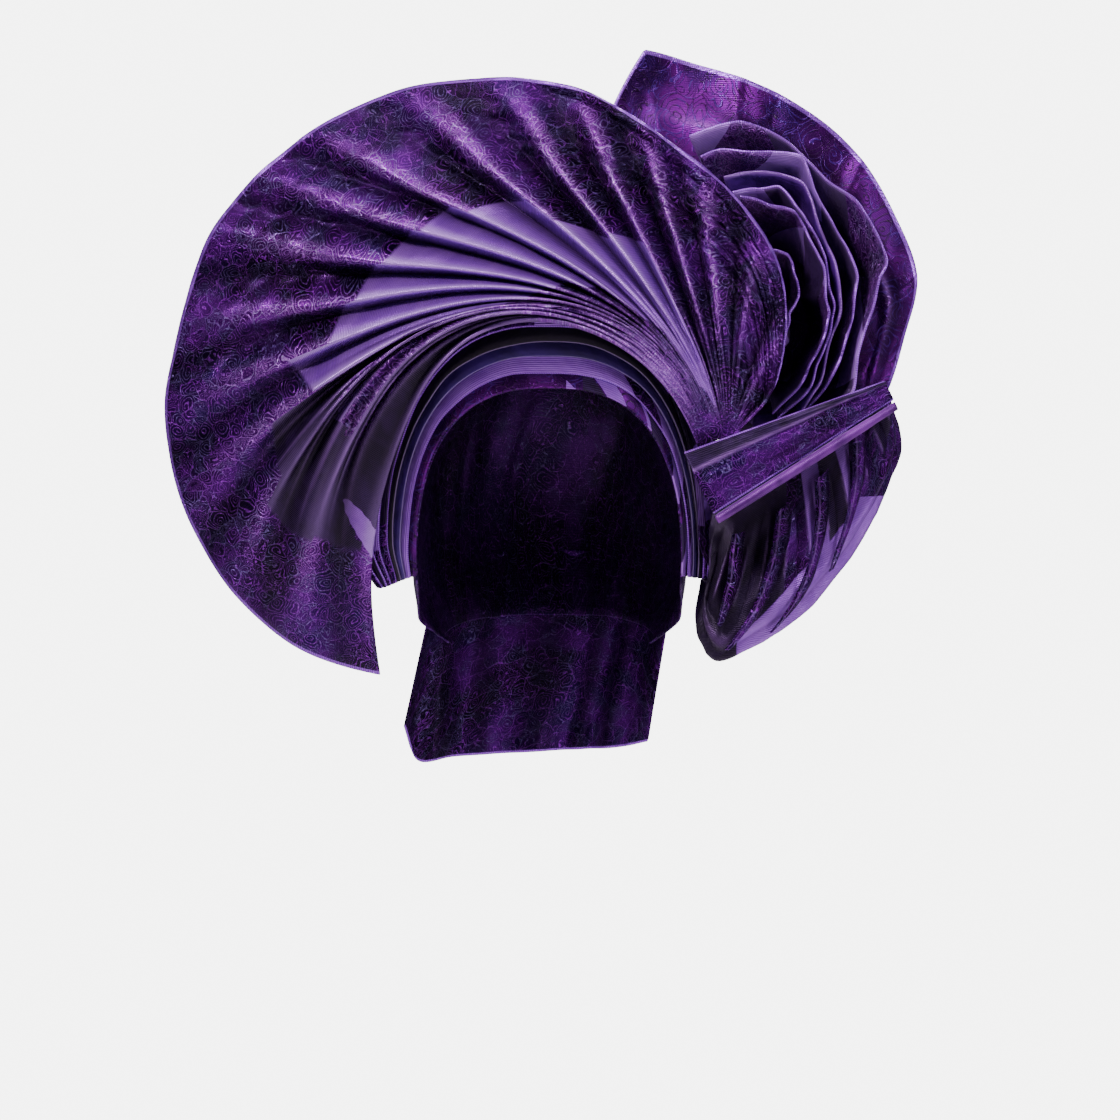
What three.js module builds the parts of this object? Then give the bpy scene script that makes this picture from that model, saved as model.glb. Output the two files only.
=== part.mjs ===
// A tied gele: a stiff brocade head tie with a pleated fan, a rosette of loops and a back flap.
// Millimetres, +Z up. The face looks along -Y and the picture's right is +X.
// The origin is the inside of the crown, where the head tie rests on the head.

import * as THREE from "three";

// Cloth
const clothWall = 1.6;
const layerGap = 0.7;
const foldedWall = 2.2;

// Head that the tie is worn on
const headHalfWidth = 75;
const crownHeight = 131;
const foreheadReach = 84;
const occiputReach = 97;
const napeDrop = 34;
const browHeight = 108;
const faceSquareness = 2.6;
const footBlend = 0.2;
const hoodSteps = 22;
const hoodStepsBack = 12;

// Brow pleats
const browRise = 40;
const browSpread = 22;
const browFootSpread = 8;
const browStep = clothWall + layerGap;
const browOverlap = 0.35;
const browBack = 10;
const browLift = 5;
const browOuterSquareness = 2.0;
const browOuterHug = 1.6;
const browFootShare = 0.006;
const browSideFrom = 0.35;
const browSideTo = 0.65;
const browProbe = 0.01;
const browSteps = 24;

// The gather at the temple, where every pleat of the fan and the rosette meets
const gatherOut = 97;
const gatherDrop = 62;
const gatherForward = 64;
const gatherRadius = 12;
const gatherFirst = 130;
const gatherLast = 70;

// Pleated fan
const fanRadius = 172;
const fanCentreOut = -45;
const fanCentreDrop = 15;
const fanStart = -107;
const fanSweep = 259;
const pleatDepth = 11;
const rimSoftness = 0.4;
const pleatFrom = 0.1;
const pleatFull = 0.55;
const rimFrom = 0.6;
const fanStepsPleat = 4;
const fanStepsOut = 14;

// Back flap
const flapRadius = 232;
const flapRoot = 26;
const flapLean = 18;
const flapWave = 7;
const flapWaves = 2;
const flapBend = 0.5;
const flapSteps = 22;
const flapStepsOut = 7;

// Rosette of loops
const rosetteCoreOut = 135;
const rosetteCoreRise = 17;
const rosetteRadius = 92;
const rosetteDepth = 74;
const rosetteBack = 40;
const rosetteFunnel = 0.86;
const rosetteDome = 16;
const rosetteDomeFrom = 0.9;
const rosetteDomeTo = 0.6;
const rosetteFolds = 6;
const rosetteSteps = 26;
const rosetteStepsDeep = 2;

// Tie band
const bandWidth = 37;
const bandReach = 118;
const bandSlope = 26;
const bandInset = 14;
const bandOver = 5.5;
const bandLift = 7.4;
const bandSetBack = 24;
const bandTaper = 0.3;
const bandBulge = 3;
const bandEdge = 0.5;
const bandSteps = 10;
const bandStepsAcross = 3;
const bandRollRadius = 3.2;
const bandRollSteps = 12;
const bandRollSides = 8;

// Lower puff
const puffDepth = 92;
const puffThickness = 60;
const puffWidth = 120;
const puffSlope = 36;
const puffTuck = 2;
const puffInset = 8;
const puffMiddle = -12;
const puffFall = 0.8;
const puffFullness = 0.7;
const puffSteps = 18;
const puffStepsRound = 10;
const puffPleatSteps = 8;

// Nape tail
const tailLength = 70;
const tailHalfWidth = 73;
const tailSeam = 0.9;
const tailFold = 5;
const tailFolds = 3;
const tailInset = 0.06;
const tailSetBack = 6;
const tailSteps = 18;
const tailStepsDown = 4;

// Colours
const brocade = { color: 0x3f1268, roughness: 0.42, metalness: 0.15 };
const lavender = { color: 0x7a55b8, roughness: 0.38, metalness: 0.1 };
const indigo = { color: 0x261a4c, roughness: 0.45, metalness: 0.1 };
const magenta = { color: 0x7a1894, roughness: 0.4, metalness: 0.15 };
const violet = { color: 0x5a3aa6, roughness: 0.35, metalness: 0.1 };

const gather = new THREE.Vector3(gatherOut, -gatherForward, -gatherDrop);

const clamp01 = (t) => Math.min(1, Math.max(0, t));
const lerp = (a, b, t) => a + (b - a) * t;

function smooth(from, to, t) {
  const s = clamp01((t - from) / (to - from));
  return s * s * (3 - 2 * s);
}

// Value of a table's column at a place along it, by a smooth curve through the rows.
function along(rows, key, column, place) {
  const last = rows.length - 1;
  let i = 0;
  while (i < last - 1 && place > rows[i + 1][key]) i += 1;
  const before = rows[Math.max(0, i - 1)];
  const here = rows[i];
  const next = rows[i + 1];
  const after = rows[Math.min(last, i + 2)];
  const span = next[key] - here[key];
  const t = clamp01((place - here[key]) / span);
  const slopeHere = ((next[column] - before[column]) / (next[key] - before[key])) * span;
  const slopeNext = ((after[column] - here[column]) / (after[key] - here[key])) * span;
  const t2 = t * t;
  const t3 = t2 * t;
  return (
    (2 * t3 - 3 * t2 + 1) * here[column] +
    (t3 - 2 * t2 + t) * slopeHere +
    (-2 * t3 + 3 * t2) * next[column] +
    (t3 - t2) * slopeNext
  );
}

// Closed wall of cloth: the surface at(u, v) given a thickness, half on each side.
function wallGeometry(at, stepsU, stepsV, thickness) {
  const points = [];
  const normals = [];
  for (let i = 0; i <= stepsU; i += 1) {
    for (let j = 0; j <= stepsV; j += 1) {
      points.push(at(i / stepsU, j / stepsV));
    }
  }
  const row = stepsV + 1;
  const point = (i, j) => points[i * row + j];
  for (let i = 0; i <= stepsU; i += 1) {
    for (let j = 0; j <= stepsV; j += 1) {
      const alongU = point(Math.min(stepsU, i + 1), j).clone().sub(point(Math.max(0, i - 1), j));
      const alongV = point(i, Math.min(stepsV, j + 1)).clone().sub(point(i, Math.max(0, j - 1)));
      normals.push(alongU.cross(alongV).normalize());
    }
  }
  const positions = [];
  for (const side of [1, -1]) {
    points.forEach((p, k) => {
      const q = p.clone().addScaledVector(normals[k], (side * thickness) / 2);
      positions.push(q.x, q.y, q.z);
    });
  }
  const other = points.length;
  const index = [];
  const quad = (a, b, c, d) => index.push(a, b, c, a, c, d);
  for (let i = 0; i < stepsU; i += 1) {
    for (let j = 0; j < stepsV; j += 1) {
      const a = i * row + j;
      quad(a, a + row, a + row + 1, a + 1);
      quad(a + other, a + 1 + other, a + row + 1 + other, a + row + other);
    }
  }
  const edge = [];
  for (let i = 0; i < stepsU; i += 1) edge.push(i * row);
  for (let j = 0; j < stepsV; j += 1) edge.push(stepsU * row + j);
  for (let i = stepsU; i > 0; i -= 1) edge.push(i * row + stepsV);
  for (let j = stepsV; j > 0; j -= 1) edge.push(j);
  edge.forEach((a, k) => {
    const b = edge[(k + 1) % edge.length];
    quad(a, a + other, b + other, b);
  });
  const geometry = new THREE.BufferGeometry();
  geometry.setAttribute("position", new THREE.Float32BufferAttribute(positions, 3));
  geometry.setIndex(index);
  geometry.computeVertexNormals();
  return geometry;
}

function clothMesh(name, look, geometry) {
  const material = new THREE.MeshStandardMaterial({ ...look, side: THREE.DoubleSide });
  const mesh = new THREE.Mesh(geometry, material);
  mesh.name = name;
  return mesh;
}

// Point on an arch over the head. across runs 0 to 1 from the picture's left ear to the right one.
function archPoint(arch, across) {
  const turn = Math.PI * across;
  const power = 2 / arch.square;
  const wide = -Math.sign(Math.cos(turn)) * Math.abs(Math.cos(turn)) ** power;
  const high = Math.sin(turn) ** power;
  const half = lerp(arch.footHalf, arch.half, smooth(0, footBlend, high));
  return new THREE.Vector3(
    wide * half,
    lerp(arch.footY, arch.topY, high ** arch.hug),
    lerp(arch.footZ, arch.topZ, high),
  );
}

// Sections of the hood from the face edge over the crown to the nape.
// Widths are shares of headHalfWidth, fore and aft of the two reaches, heights of crownHeight.
const hoodSections = [
  { place: 0.0, half: 0.987, foot: 0.98, footY: -0.22, topY: -0.94, footZ: 1.0, topZ: 0.18 },
  { place: 0.15, half: 1.0, foot: 0.98, footY: -0.1, topY: -0.72, footZ: 1.01, topZ: 0.05 },
  { place: 0.35, half: 1.02, foot: 0.98, footY: 0.08, topY: 0.02, footZ: 1.04, topZ: 0.0 },
  { place: 0.55, half: 1.02, foot: 0.98, footY: 0.24, topY: 0.52, footZ: 1.1, topZ: 0.1 },
  { place: 0.7, half: 1.01, foot: 0.97, footY: 0.38, topY: 0.86, footZ: 1.16, topZ: 0.34 },
  { place: 0.85, half: 0.93, foot: 0.88, footY: 0.48, topY: 1.0, footZ: 1.21, topZ: 0.72 },
  { place: 1.0, half: 0.8, foot: 0.76, footY: 0.56, topY: 0.86, footZ: 1.26, topZ: 1.14 },
];

function hoodArch(place) {
  const value = (column) => along(hoodSections, "place", column, place);
  const fore = (share) => share * (share < 0 ? foreheadReach : occiputReach);
  return {
    square: faceSquareness,
    hug: 1,
    half: value("half") * headHalfWidth + clothWall / 2,
    footHalf: value("foot") * headHalfWidth + clothWall / 2,
    footY: fore(value("footY")),
    topY: fore(value("topY")),
    footZ: -value("footZ") * crownHeight,
    topZ: -value("topZ") * crownHeight + clothWall / 2,
  };
}

function headWrap() {
  const at = (u, v) => archPoint(hoodArch(v), u);
  return clothMesh("head_wrap", brocade, wallGeometry(at, hoodSteps, hoodStepsBack, clothWall));
}

// Edges of the brow pleats from the face edge outwards.
// rise is a share of browRise above the face edge; left and right are shares of browSpread.
const browEdges = [
  { edge: 0, rise: 0.0, left: 0.0, right: 0.0 },
  { edge: 1, rise: 0.16, left: 0.12, right: 0.03 },
  { edge: 2, rise: 0.32, left: 0.22, right: 0.05 },
  { edge: 3, rise: 0.49, left: 0.34, right: 0.08 },
  { edge: 4, rise: 0.68, left: 0.48, right: 0.1 },
  { edge: 5, rise: 0.79, left: 0.66, right: 0.12 },
  { edge: 6, rise: 0.87, left: 0.8, right: 0.14 },
  { edge: 7, rise: 0.94, left: 0.92, right: 0.16 },
  { edge: 8, rise: 1.0, left: 1.0, right: 0.18 },
];
const browCount = browEdges.length - 1;

// The smooth surface under the brow pleats.
function browPoint(u, edge) {
  const value = (column) => along(browEdges, "edge", column, edge);
  const side = lerp(value("left"), value("right"), smooth(browSideFrom, browSideTo, u));
  const share = edge / browCount;
  const arch = {
    square: lerp(faceSquareness, browOuterSquareness, share),
    hug: lerp(1, browOuterHug, share),
    half: hoodSections[0].half * headHalfWidth + side * browSpread,
    footHalf: hoodSections[0].foot * headHalfWidth + share * browFootSpread,
    footY: hoodSections[0].footY * foreheadReach + share * browBack,
    topY: hoodSections[0].topY * foreheadReach - browLift + share * browBack,
    footZ: -crownHeight,
    topZ: -crownHeight + browHeight + value("rise") * browRise,
  };
  return archPoint(arch, lerp(browFootShare, 1 - browFootShare, u));
}

// A brow pleat is a strip between two edges. Each lies one step further out than the one below it.
function browPleat(number, look) {
  const at = (u, v) => {
    const edge = Math.min(browCount, number - 1 + v * (1 + browOverlap));
    const here = browPoint(u, edge);
    const u2 = u < 0.5 ? u + browProbe : u - browProbe;
    const edge2 = edge > browProbe ? edge - browProbe : edge + browProbe;
    const alongU = browPoint(u2, edge).sub(here).multiplyScalar(u2 > u ? 1 : -1);
    const alongEdge = browPoint(u, edge2).sub(here).multiplyScalar(edge2 > edge ? 1 : -1);
    const normal = alongU.cross(alongEdge).normalize();
    return here.addScaledVector(normal, number * browStep);
  };
  return clothMesh(`brow_pleat_${number}`, look, wallGeometry(at, browSteps, 1, clothWall));
}

// Strands of the fan, from its lowest pleat at the left clockwise to its right end.
// reach, knee and shoulder are shares of fanRadius measured from the fan's centre.
const fanStrands = [
  {
    place: 0.0, reach: 1.017, rimY: 0.04, kneeX: 0.552, kneeY: -0.76, kneeZ: 0.378,
    shoulderX: -0.494, shoulderY: -0.82, shoulderZ: 0.436,
  },
  {
    place: 0.069, reach: 1.052, rimY: 0.04, kneeX: 0.552, kneeY: -0.76, kneeZ: 0.407,
    shoulderX: -0.552, shoulderY: -0.75, shoulderZ: 0.436,
  },
  {
    place: 0.17, reach: 1.035, rimY: 0.03, kneeX: 0.552, kneeY: -0.75, kneeZ: 0.436,
    shoulderX: -0.291, shoulderY: -0.66, shoulderZ: 0.349,
  },
  {
    place: 0.263, reach: 1.003, rimY: 0.0, kneeX: 0.552, kneeY: -0.74, kneeZ: 0.448,
    shoulderX: -0.174, shoulderY: -0.6, shoulderZ: 0.308,
  },
  {
    place: 0.32, reach: 0.965, rimY: -0.03, kneeX: 0.564, kneeY: -0.73, kneeZ: 0.424,
    shoulderX: -0.134, shoulderY: -0.54, shoulderZ: 0.331,
  },
  {
    place: 0.396, reach: 0.969, rimY: -0.06, kneeX: 0.593, kneeY: -0.72, kneeZ: 0.4,
    shoulderX: -0.087, shoulderY: -0.5, shoulderZ: 0.331,
  },
  {
    place: 0.479, reach: 0.953, rimY: -0.1, kneeX: 0.622, kneeY: -0.69, kneeZ: 0.32,
    shoulderX: 0.029, shoulderY: -0.46, shoulderZ: 0.494,
  },
  {
    place: 0.556, reach: 0.957, rimY: -0.14, kneeX: 0.657, kneeY: -0.65, kneeZ: 0.25,
    shoulderX: 0.174, shoulderY: -0.42, shoulderZ: 0.552,
  },
  {
    place: 0.633, reach: 0.971, rimY: -0.17, kneeX: 0.703, kneeY: -0.6, kneeZ: 0.19,
    shoulderX: 0.349, shoulderY: -0.39, shoulderZ: 0.541,
  },
  {
    place: 0.708, reach: 1.0, rimY: -0.2, kneeX: 0.744, kneeY: -0.53, kneeZ: 0.13,
    shoulderX: 0.523, shoulderY: -0.37, shoulderZ: 0.541,
  },
  {
    place: 0.784, reach: 1.0, rimY: -0.25, kneeX: 0.797, kneeY: -0.46, kneeZ: 0.122,
    shoulderX: 0.727, shoulderY: -0.33, shoulderZ: 0.471,
  },
  {
    place: 0.857, reach: 1.047, rimY: -0.29, kneeX: 0.855, kneeY: -0.4, kneeZ: 0.099,
    shoulderX: 0.878, shoulderY: -0.33, shoulderZ: 0.343,
  },
  {
    place: 0.907, reach: 1.064, rimY: -0.32, kneeX: 0.878, kneeY: -0.39, kneeZ: -0.029,
    shoulderX: 0.948, shoulderY: -0.34, shoulderZ: 0.169,
  },
  {
    place: 0.977, reach: 1.0, rimY: -0.36, kneeX: 0.89, kneeY: -0.385, kneeZ: -0.134,
    shoulderX: 0.971, shoulderY: -0.36, shoulderZ: -0.076,
  },
  {
    place: 1.0, reach: 0.953, rimY: -0.37, kneeX: 0.872, kneeY: -0.38, kneeZ: -0.18,
    shoulderX: 0.924, shoulderY: -0.37, shoulderZ: -0.145,
  },
];

// Crests of the pleats by their place round the rim, and their height as a share of pleatDepth.
const fanCrests = [
  { crest: 0, place: 0.0, height: 0.3 },
  { crest: 1, place: 0.055, height: 0.8 },
  { crest: 2, place: 0.12, height: 0.7 },
  { crest: 3, place: 0.19, height: 0.9 },
  { crest: 4, place: 0.255, height: 0.7 },
  { crest: 5, place: 0.32, height: 1.0 },
  { crest: 6, place: 0.395, height: 1.0 },
  { crest: 7, place: 0.45, height: 0.7 },
  { crest: 8, place: 0.503, height: 0.9 },
  { crest: 9, place: 0.585, height: 1.0 },
  { crest: 10, place: 0.655, height: 1.0 },
  { crest: 11, place: 0.71, height: 0.7 },
  { crest: 12, place: 0.765, height: 0.9 },
  { crest: 13, place: 0.82, height: 0.7 },
  { crest: 14, place: 0.885, height: 0.8 },
  { crest: 15, place: 0.95, height: 0.5 },
  { crest: 16, place: 1.0, height: 0.3 },
];

// Point of the fan without its pleats: place runs round the rim, t from the gather out to it.
function fanPlain(place, t) {
  const value = (column) => along(fanStrands, "place", column, place) * fanRadius;
  const centre = new THREE.Vector3(fanCentreOut, 0, -fanCentreDrop);
  const rimTurn = THREE.MathUtils.degToRad(fanStart - fanSweep * place);
  const rootTurn = THREE.MathUtils.degToRad(lerp(gatherFirst, gatherLast, place));
  const root = gather
    .clone()
    .add(new THREE.Vector3(Math.cos(rootTurn), 0, Math.sin(rootTurn)).multiplyScalar(gatherRadius));
  const fromCentre = (x, y, z) => centre.clone().add(new THREE.Vector3(x, y, z));
  const knee = fromCentre(value("kneeX"), value("kneeY"), value("kneeZ"));
  const shoulder = fromCentre(value("shoulderX"), value("shoulderY"), value("shoulderZ"));
  const reach = value("reach");
  const rim = fromCentre(Math.cos(rimTurn) * reach, value("rimY"), Math.sin(rimTurn) * reach);
  return new THREE.CubicBezierCurve3(root, knee, shoulder, rim).getPoint(t);
}

// The fan folds between crests and valleys. The folds start flat at the gather and soften at the rim.
function pleatFan() {
  const pleats = fanCrests.length - 1;
  const at = (u, v) => {
    const phase = u * pleats;
    const place = along(fanCrests, "crest", "place", phase);
    const height = along(fanCrests, "crest", "height", phase) * pleatDepth;
    const wave = Math.abs(2 * (phase - Math.floor(phase)) - 1) - 0.5;
    const grow = smooth(pleatFrom, pleatFull, v) * lerp(1, rimSoftness, smooth(rimFrom, 1, v));
    const p = fanPlain(place, v);
    p.y -= wave * height * grow;
    return p;
  };
  return clothMesh("pleat_fan", brocade, wallGeometry(at, pleats * fanStepsPleat, fanStepsOut, clothWall));
}

// Reach of the back flap from the gather by its turn in degrees, as a share of flapRadius.
const flapOutline = [
  { turn: 22, reach: 0.435 },
  { turn: 34, reach: 0.545 },
  { turn: 43, reach: 0.658 },
  { turn: 55, reach: 0.741 },
  { turn: 68, reach: 0.835 },
  { turn: 79, reach: 0.897 },
  { turn: 92, reach: 0.96 },
  { turn: 100, reach: 1.0 },
  { turn: 107, reach: 0.866 },
];

function backFlap() {
  const first = flapOutline[0].turn;
  const last = flapOutline[flapOutline.length - 1].turn;
  const at = (u, v) => {
    const turn = lerp(last, first, u);
    const reach = along(flapOutline, "turn", "reach", turn) * flapRadius;
    const radius = lerp(flapRoot, reach, v);
    const angle = THREE.MathUtils.degToRad(turn);
    const fold = Math.sin(u * Math.PI * 2 * flapWaves) * flapWave * smooth(flapBend, 1, v);
    return new THREE.Vector3(
      gatherOut + radius * Math.cos(angle),
      rosetteBack + clothWall / 2 + layerGap + flapLean * smooth(flapBend, 1, v) + Math.abs(fold),
      -gatherDrop + radius * Math.sin(angle),
    );
  };
  return clothMesh("back_flap", magenta, wallGeometry(at, flapSteps, flapStepsOut, clothWall));
}

// Innermost and outermost loop of the rosette round its core, as shares of rosetteRadius.
const rosetteLoop = [
  { turn: -119, inner: 0.74, outer: 1.02 },
  { turn: -108, inner: 0.54, outer: 0.9 },
  { turn: -98, inner: 0.42, outer: 0.83 },
  { turn: -75, inner: 0.24, outer: 0.72 },
  { turn: -50, inner: 0.14, outer: 0.64 },
  { turn: -30, inner: 0.12, outer: 0.48 },
  { turn: 0, inner: 0.12, outer: 0.5 },
  { turn: 30, inner: 0.14, outer: 0.7 },
  { turn: 50, inner: 0.18, outer: 0.82 },
  { turn: 70, inner: 0.25, outer: 0.97 },
  { turn: 85, inner: 0.34, outer: 1.01 },
  { turn: 100, inner: 0.43, outer: 1.05 },
  { turn: 118, inner: 0.48, outer: 1.14 },
];

function rosetteFold(number, look) {
  const share = (number - 1) / (rosetteFolds - 1);
  const first = rosetteLoop[0].turn;
  const last = rosetteLoop[rosetteLoop.length - 1].turn;
  const at = (u, v) => {
    const turn = lerp(last, first, u);
    const inner = along(rosetteLoop, "turn", "inner", turn);
    const outer = along(rosetteLoop, "turn", "outer", turn);
    const radius = lerp(inner, outer, share) * rosetteRadius * lerp(1, rosetteFunnel, v);
    const angle = THREE.MathUtils.degToRad(turn);
    const setBack = share * rosetteDome * smooth(rosetteDomeFrom, rosetteDomeTo, u);
    return new THREE.Vector3(
      rosetteCoreOut + radius * Math.cos(angle),
      lerp(rosetteBack - rosetteDepth + setBack, rosetteBack, v),
      rosetteCoreRise + radius * Math.sin(angle),
    );
  };
  const geometry = wallGeometry(at, rosetteSteps, rosetteStepsDeep, foldedWall);
  return clothMesh(`rosette_fold_${number}`, look, geometry);
}

// Middle line of the tie band from the temple up to its outer end.
const bandOffset = new THREE.Vector3(-bandInset, -bandLift, bandOver - bandWidth / 2);
const bandStart = gather.clone().add(bandOffset);
const bandTurn = THREE.MathUtils.degToRad(bandSlope);
const bandEnd = bandStart
  .clone()
  .add(new THREE.Vector3(Math.cos(bandTurn) * bandReach, bandSetBack, Math.sin(bandTurn) * bandReach));
const bandAcross = new THREE.Vector3(-bandEnd.z + bandStart.z, 0, bandEnd.x - bandStart.x).normalize();

function bandPoint(u, across) {
  const half = (bandWidth / 2) * lerp(1, bandTaper, u);
  const p = bandStart.clone().lerp(bandEnd, u);
  p.addScaledVector(bandAcross, across * half);
  p.y -= bandBulge * Math.sin(Math.PI * u) * (1 - across * across * bandEdge);
  return p;
}

function tieBand() {
  const at = (u, v) => bandPoint(u, 1 - 2 * v);
  return clothMesh("tie_band", magenta, wallGeometry(at, bandSteps, bandStepsAcross, clothWall));
}

function tieBandRoll() {
  const points = [];
  for (let i = 0; i <= bandSteps; i += 1) {
    const p = bandPoint(i / bandSteps, -1);
    p.addScaledVector(bandAcross, -(bandRollRadius + layerGap));
    points.push(p);
  }
  const section = new THREE.Shape();
  section.absarc(0, 0, bandRollRadius, 0, Math.PI * 2, false);
  const path = new THREE.CatmullRomCurve3(points);
  const geometry = new THREE.ExtrudeGeometry(section, {
    steps: bandRollSteps,
    curveSegments: bandRollSides,
    bevelEnabled: false,
    extrudePath: path,
  });
  return clothMesh("tie_band_roll", violet, geometry);
}

// Lower outline of the puff, along its own top line and across it.
// run is a share of puffWidth along the line, hang a share of puffDepth below it.
const puffOutline = [
  { place: 0.0, run: -0.22, hang: 0.3 },
  { place: 0.07, run: -0.35, hang: 0.46 },
  { place: 0.15, run: -0.4, hang: 0.63 },
  { place: 0.23, run: -0.38, hang: 0.77 },
  { place: 0.31, run: -0.22, hang: 0.82 },
  { place: 0.38, run: -0.08, hang: 0.845 },
  { place: 0.46, run: 0.117, hang: 0.843 },
  { place: 0.54, run: 0.27, hang: 0.79 },
  { place: 0.62, run: 0.44, hang: 0.72 },
  { place: 0.7, run: 0.647, hang: 0.594 },
  { place: 0.78, run: 0.795, hang: 0.478 },
  { place: 0.86, run: 0.91, hang: 0.345 },
  { place: 0.94, run: 0.97, hang: 0.16 },
  { place: 1.0, run: 1.0, hang: 0.03 },
];
const puffTurn = THREE.MathUtils.degToRad(puffSlope);
const puffAlong = new THREE.Vector3(Math.cos(puffTurn), 0, Math.sin(puffTurn));
const puffDown = new THREE.Vector3(Math.sin(puffTurn), 0, -Math.cos(puffTurn));
const puffTop = bandStart.clone().add(new THREE.Vector3(puffInset, 0, puffTuck - bandWidth / 2));

// The pouch is a U in section: front wall, rounded bottom, back wall. v runs round it.
function puffPoint(u, v, out) {
  const top = puffTop.clone().addScaledVector(puffAlong, u * puffWidth);
  const low = puffTop
    .clone()
    .addScaledVector(puffAlong, along(puffOutline, "place", "run", u) * puffWidth)
    .addScaledVector(puffDown, along(puffOutline, "place", "hang", u) * puffDepth + out);
  const turn = Math.PI * v;
  const p = top.lerp(low, Math.sin(turn) ** puffFall);
  const half = puffThickness / 2 + out;
  p.y = puffMiddle - half * Math.sign(Math.cos(turn)) * Math.abs(Math.cos(turn)) ** puffFullness;
  return p;
}

function lowerPuff() {
  const at = (u, v) => puffPoint(u, v, 0);
  return clothMesh("lower_puff", violet, wallGeometry(at, puffSteps, puffStepsRound, clothWall));
}

// Long folds on the pouch. Starts and ends are places along it and round it; half is a half width round it.
const puffPleats = [
  { startU: 0.19, startV: 0.27, endU: 0.2, endV: 0.06, half: 0.03 },
  { startU: 0.24, startV: 0.36, endU: 0.4, endV: 0.06, half: 0.03 },
  { startU: 0.36, startV: 0.4, endU: 0.58, endV: 0.06, half: 0.03 },
  { startU: 0.52, startV: 0.36, endU: 0.76, endV: 0.06, half: 0.03 },
];

function puffPleat(number, look) {
  const row = puffPleats[number - 1];
  const at = (u, v) => {
    const across = (2 * v - 1) * row.half;
    const place = lerp(row.startU, row.endU, u) + across;
    const round = lerp(row.startV, row.endV, u);
    return puffPoint(place, round, clothWall / 2 + foldedWall / 2 + layerGap);
  };
  return clothMesh(`puff_pleat_${number}`, look, wallGeometry(at, puffPleatSteps, 2, foldedWall));
}

// Hem of the nape tail: out as a share of tailHalfWidth, low as a share of tailLength.
const tailHem = [
  { place: 0.0, out: -1.15, low: 0.7 },
  { place: 0.12, out: -1.05, low: 0.98 },
  { place: 0.25, out: -0.78, low: 0.96 },
  { place: 0.5, out: -0.15, low: 0.92 },
  { place: 0.8, out: 0.5, low: 0.88 },
  { place: 1.0, out: 0.78, low: 0.82 },
];

function napeTail() {
  const at = (u, v) => {
    const arch = hoodArch(tailSeam);
    const out = clothWall + layerGap;
    arch.half += out;
    arch.footHalf += out;
    arch.topY += out;
    const seam = archPoint(arch, lerp(tailInset, 1 - tailInset, u));
    const hem = new THREE.Vector3(
      along(tailHem, "place", "out", u) * tailHalfWidth,
      seam.y + tailSetBack + tailFold * Math.cos(u * Math.PI * 2 * tailFolds),
      -crownHeight - napeDrop - along(tailHem, "place", "low", u) * tailLength,
    );
    return seam.lerp(hem, v);
  };
  return clothMesh("nape_tail", brocade, wallGeometry(at, tailSteps, tailStepsDown, clothWall));
}

const group = new THREE.Group();
group.add(headWrap());
const browLooks = [brocade, lavender, indigo, indigo, brocade, brocade, brocade, brocade];
browLooks.forEach((look, i) => group.add(browPleat(i + 1, look)));
group.add(pleatFan(), backFlap());
for (let i = 1; i <= rosetteFolds; i += 1) group.add(rosetteFold(i, i % 2 ? brocade : violet));
group.add(tieBand(), tieBandRoll(), lowerPuff());
puffPleats.forEach((row, i) => group.add(puffPleat(i + 1, magenta)));
group.add(napeTail());

export default group;
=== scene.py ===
"""Looks of a tied gele: a stiff brocade head tie with a pleated fan, a rosette of loops and a back flap.

Lengths are millimetres until a mesh is made, in the frame of the CAD part: +Z up, the front faces -Y.
"""

import math

import bpy
import numpy as np
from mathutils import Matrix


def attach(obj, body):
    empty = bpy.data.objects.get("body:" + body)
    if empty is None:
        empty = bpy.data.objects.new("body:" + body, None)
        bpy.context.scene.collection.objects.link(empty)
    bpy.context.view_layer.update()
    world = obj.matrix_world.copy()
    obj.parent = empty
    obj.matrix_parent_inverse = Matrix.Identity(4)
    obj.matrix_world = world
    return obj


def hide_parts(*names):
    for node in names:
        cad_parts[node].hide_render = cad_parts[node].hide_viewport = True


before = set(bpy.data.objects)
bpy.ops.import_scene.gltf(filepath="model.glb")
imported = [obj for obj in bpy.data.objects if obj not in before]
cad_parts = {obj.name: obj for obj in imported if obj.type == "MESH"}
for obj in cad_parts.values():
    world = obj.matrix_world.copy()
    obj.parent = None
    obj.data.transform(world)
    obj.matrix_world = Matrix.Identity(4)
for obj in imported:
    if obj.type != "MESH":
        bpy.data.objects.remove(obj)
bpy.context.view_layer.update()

MM = 0.001
BODY = "root"

# Sizes shared with the CAD part
CLOTH_WALL = 1.6
LAYER_GAP = 0.7
HEAD_HALF_WIDTH = 75
CROWN_HEIGHT = 131
FOREHEAD_REACH = 84
OCCIPUT_REACH = 97
NAPE_DROP = 34
BROW_HEIGHT = 108
FACE_SQUARENESS = 2.6
FOOT_BLEND = 0.2
BROW_RISE = 40
BROW_SPREAD = 22
BROW_FOOT_SPREAD = 8
BROW_STEP = CLOTH_WALL + LAYER_GAP
BROW_OVERLAP = 1.2
BROW_BACK = 10
BROW_LIFT = 5
BROW_OUTER_SQUARENESS = 2.0
BROW_OUTER_HUG = 1.6
BROW_FOOT_SHARE = 0.006
GATHER = np.array([97.0, -64.0, -62.0])
GATHER_RADIUS = 12
FAN_RADIUS = 172
FAN_CENTRE = np.array([-45.0, 0.0, -15.0])
FAN_START = -107
FAN_SWEEP = 259
PLEAT_DEPTH = 11
FLAP_RADIUS = 232
FLAP_ROOT = 26
FLAP_LEAN = 18
ROSETTE_CORE = np.array([135.0, 0.0, 17.0])
ROSETTE_BACK = 40
ROSETTE_DEPTH = 74
ROSETTE_DOME = 16
BAND_WIDTH = 37
BAND_REACH = 118
BAND_SLOPE = math.radians(26)
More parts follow.
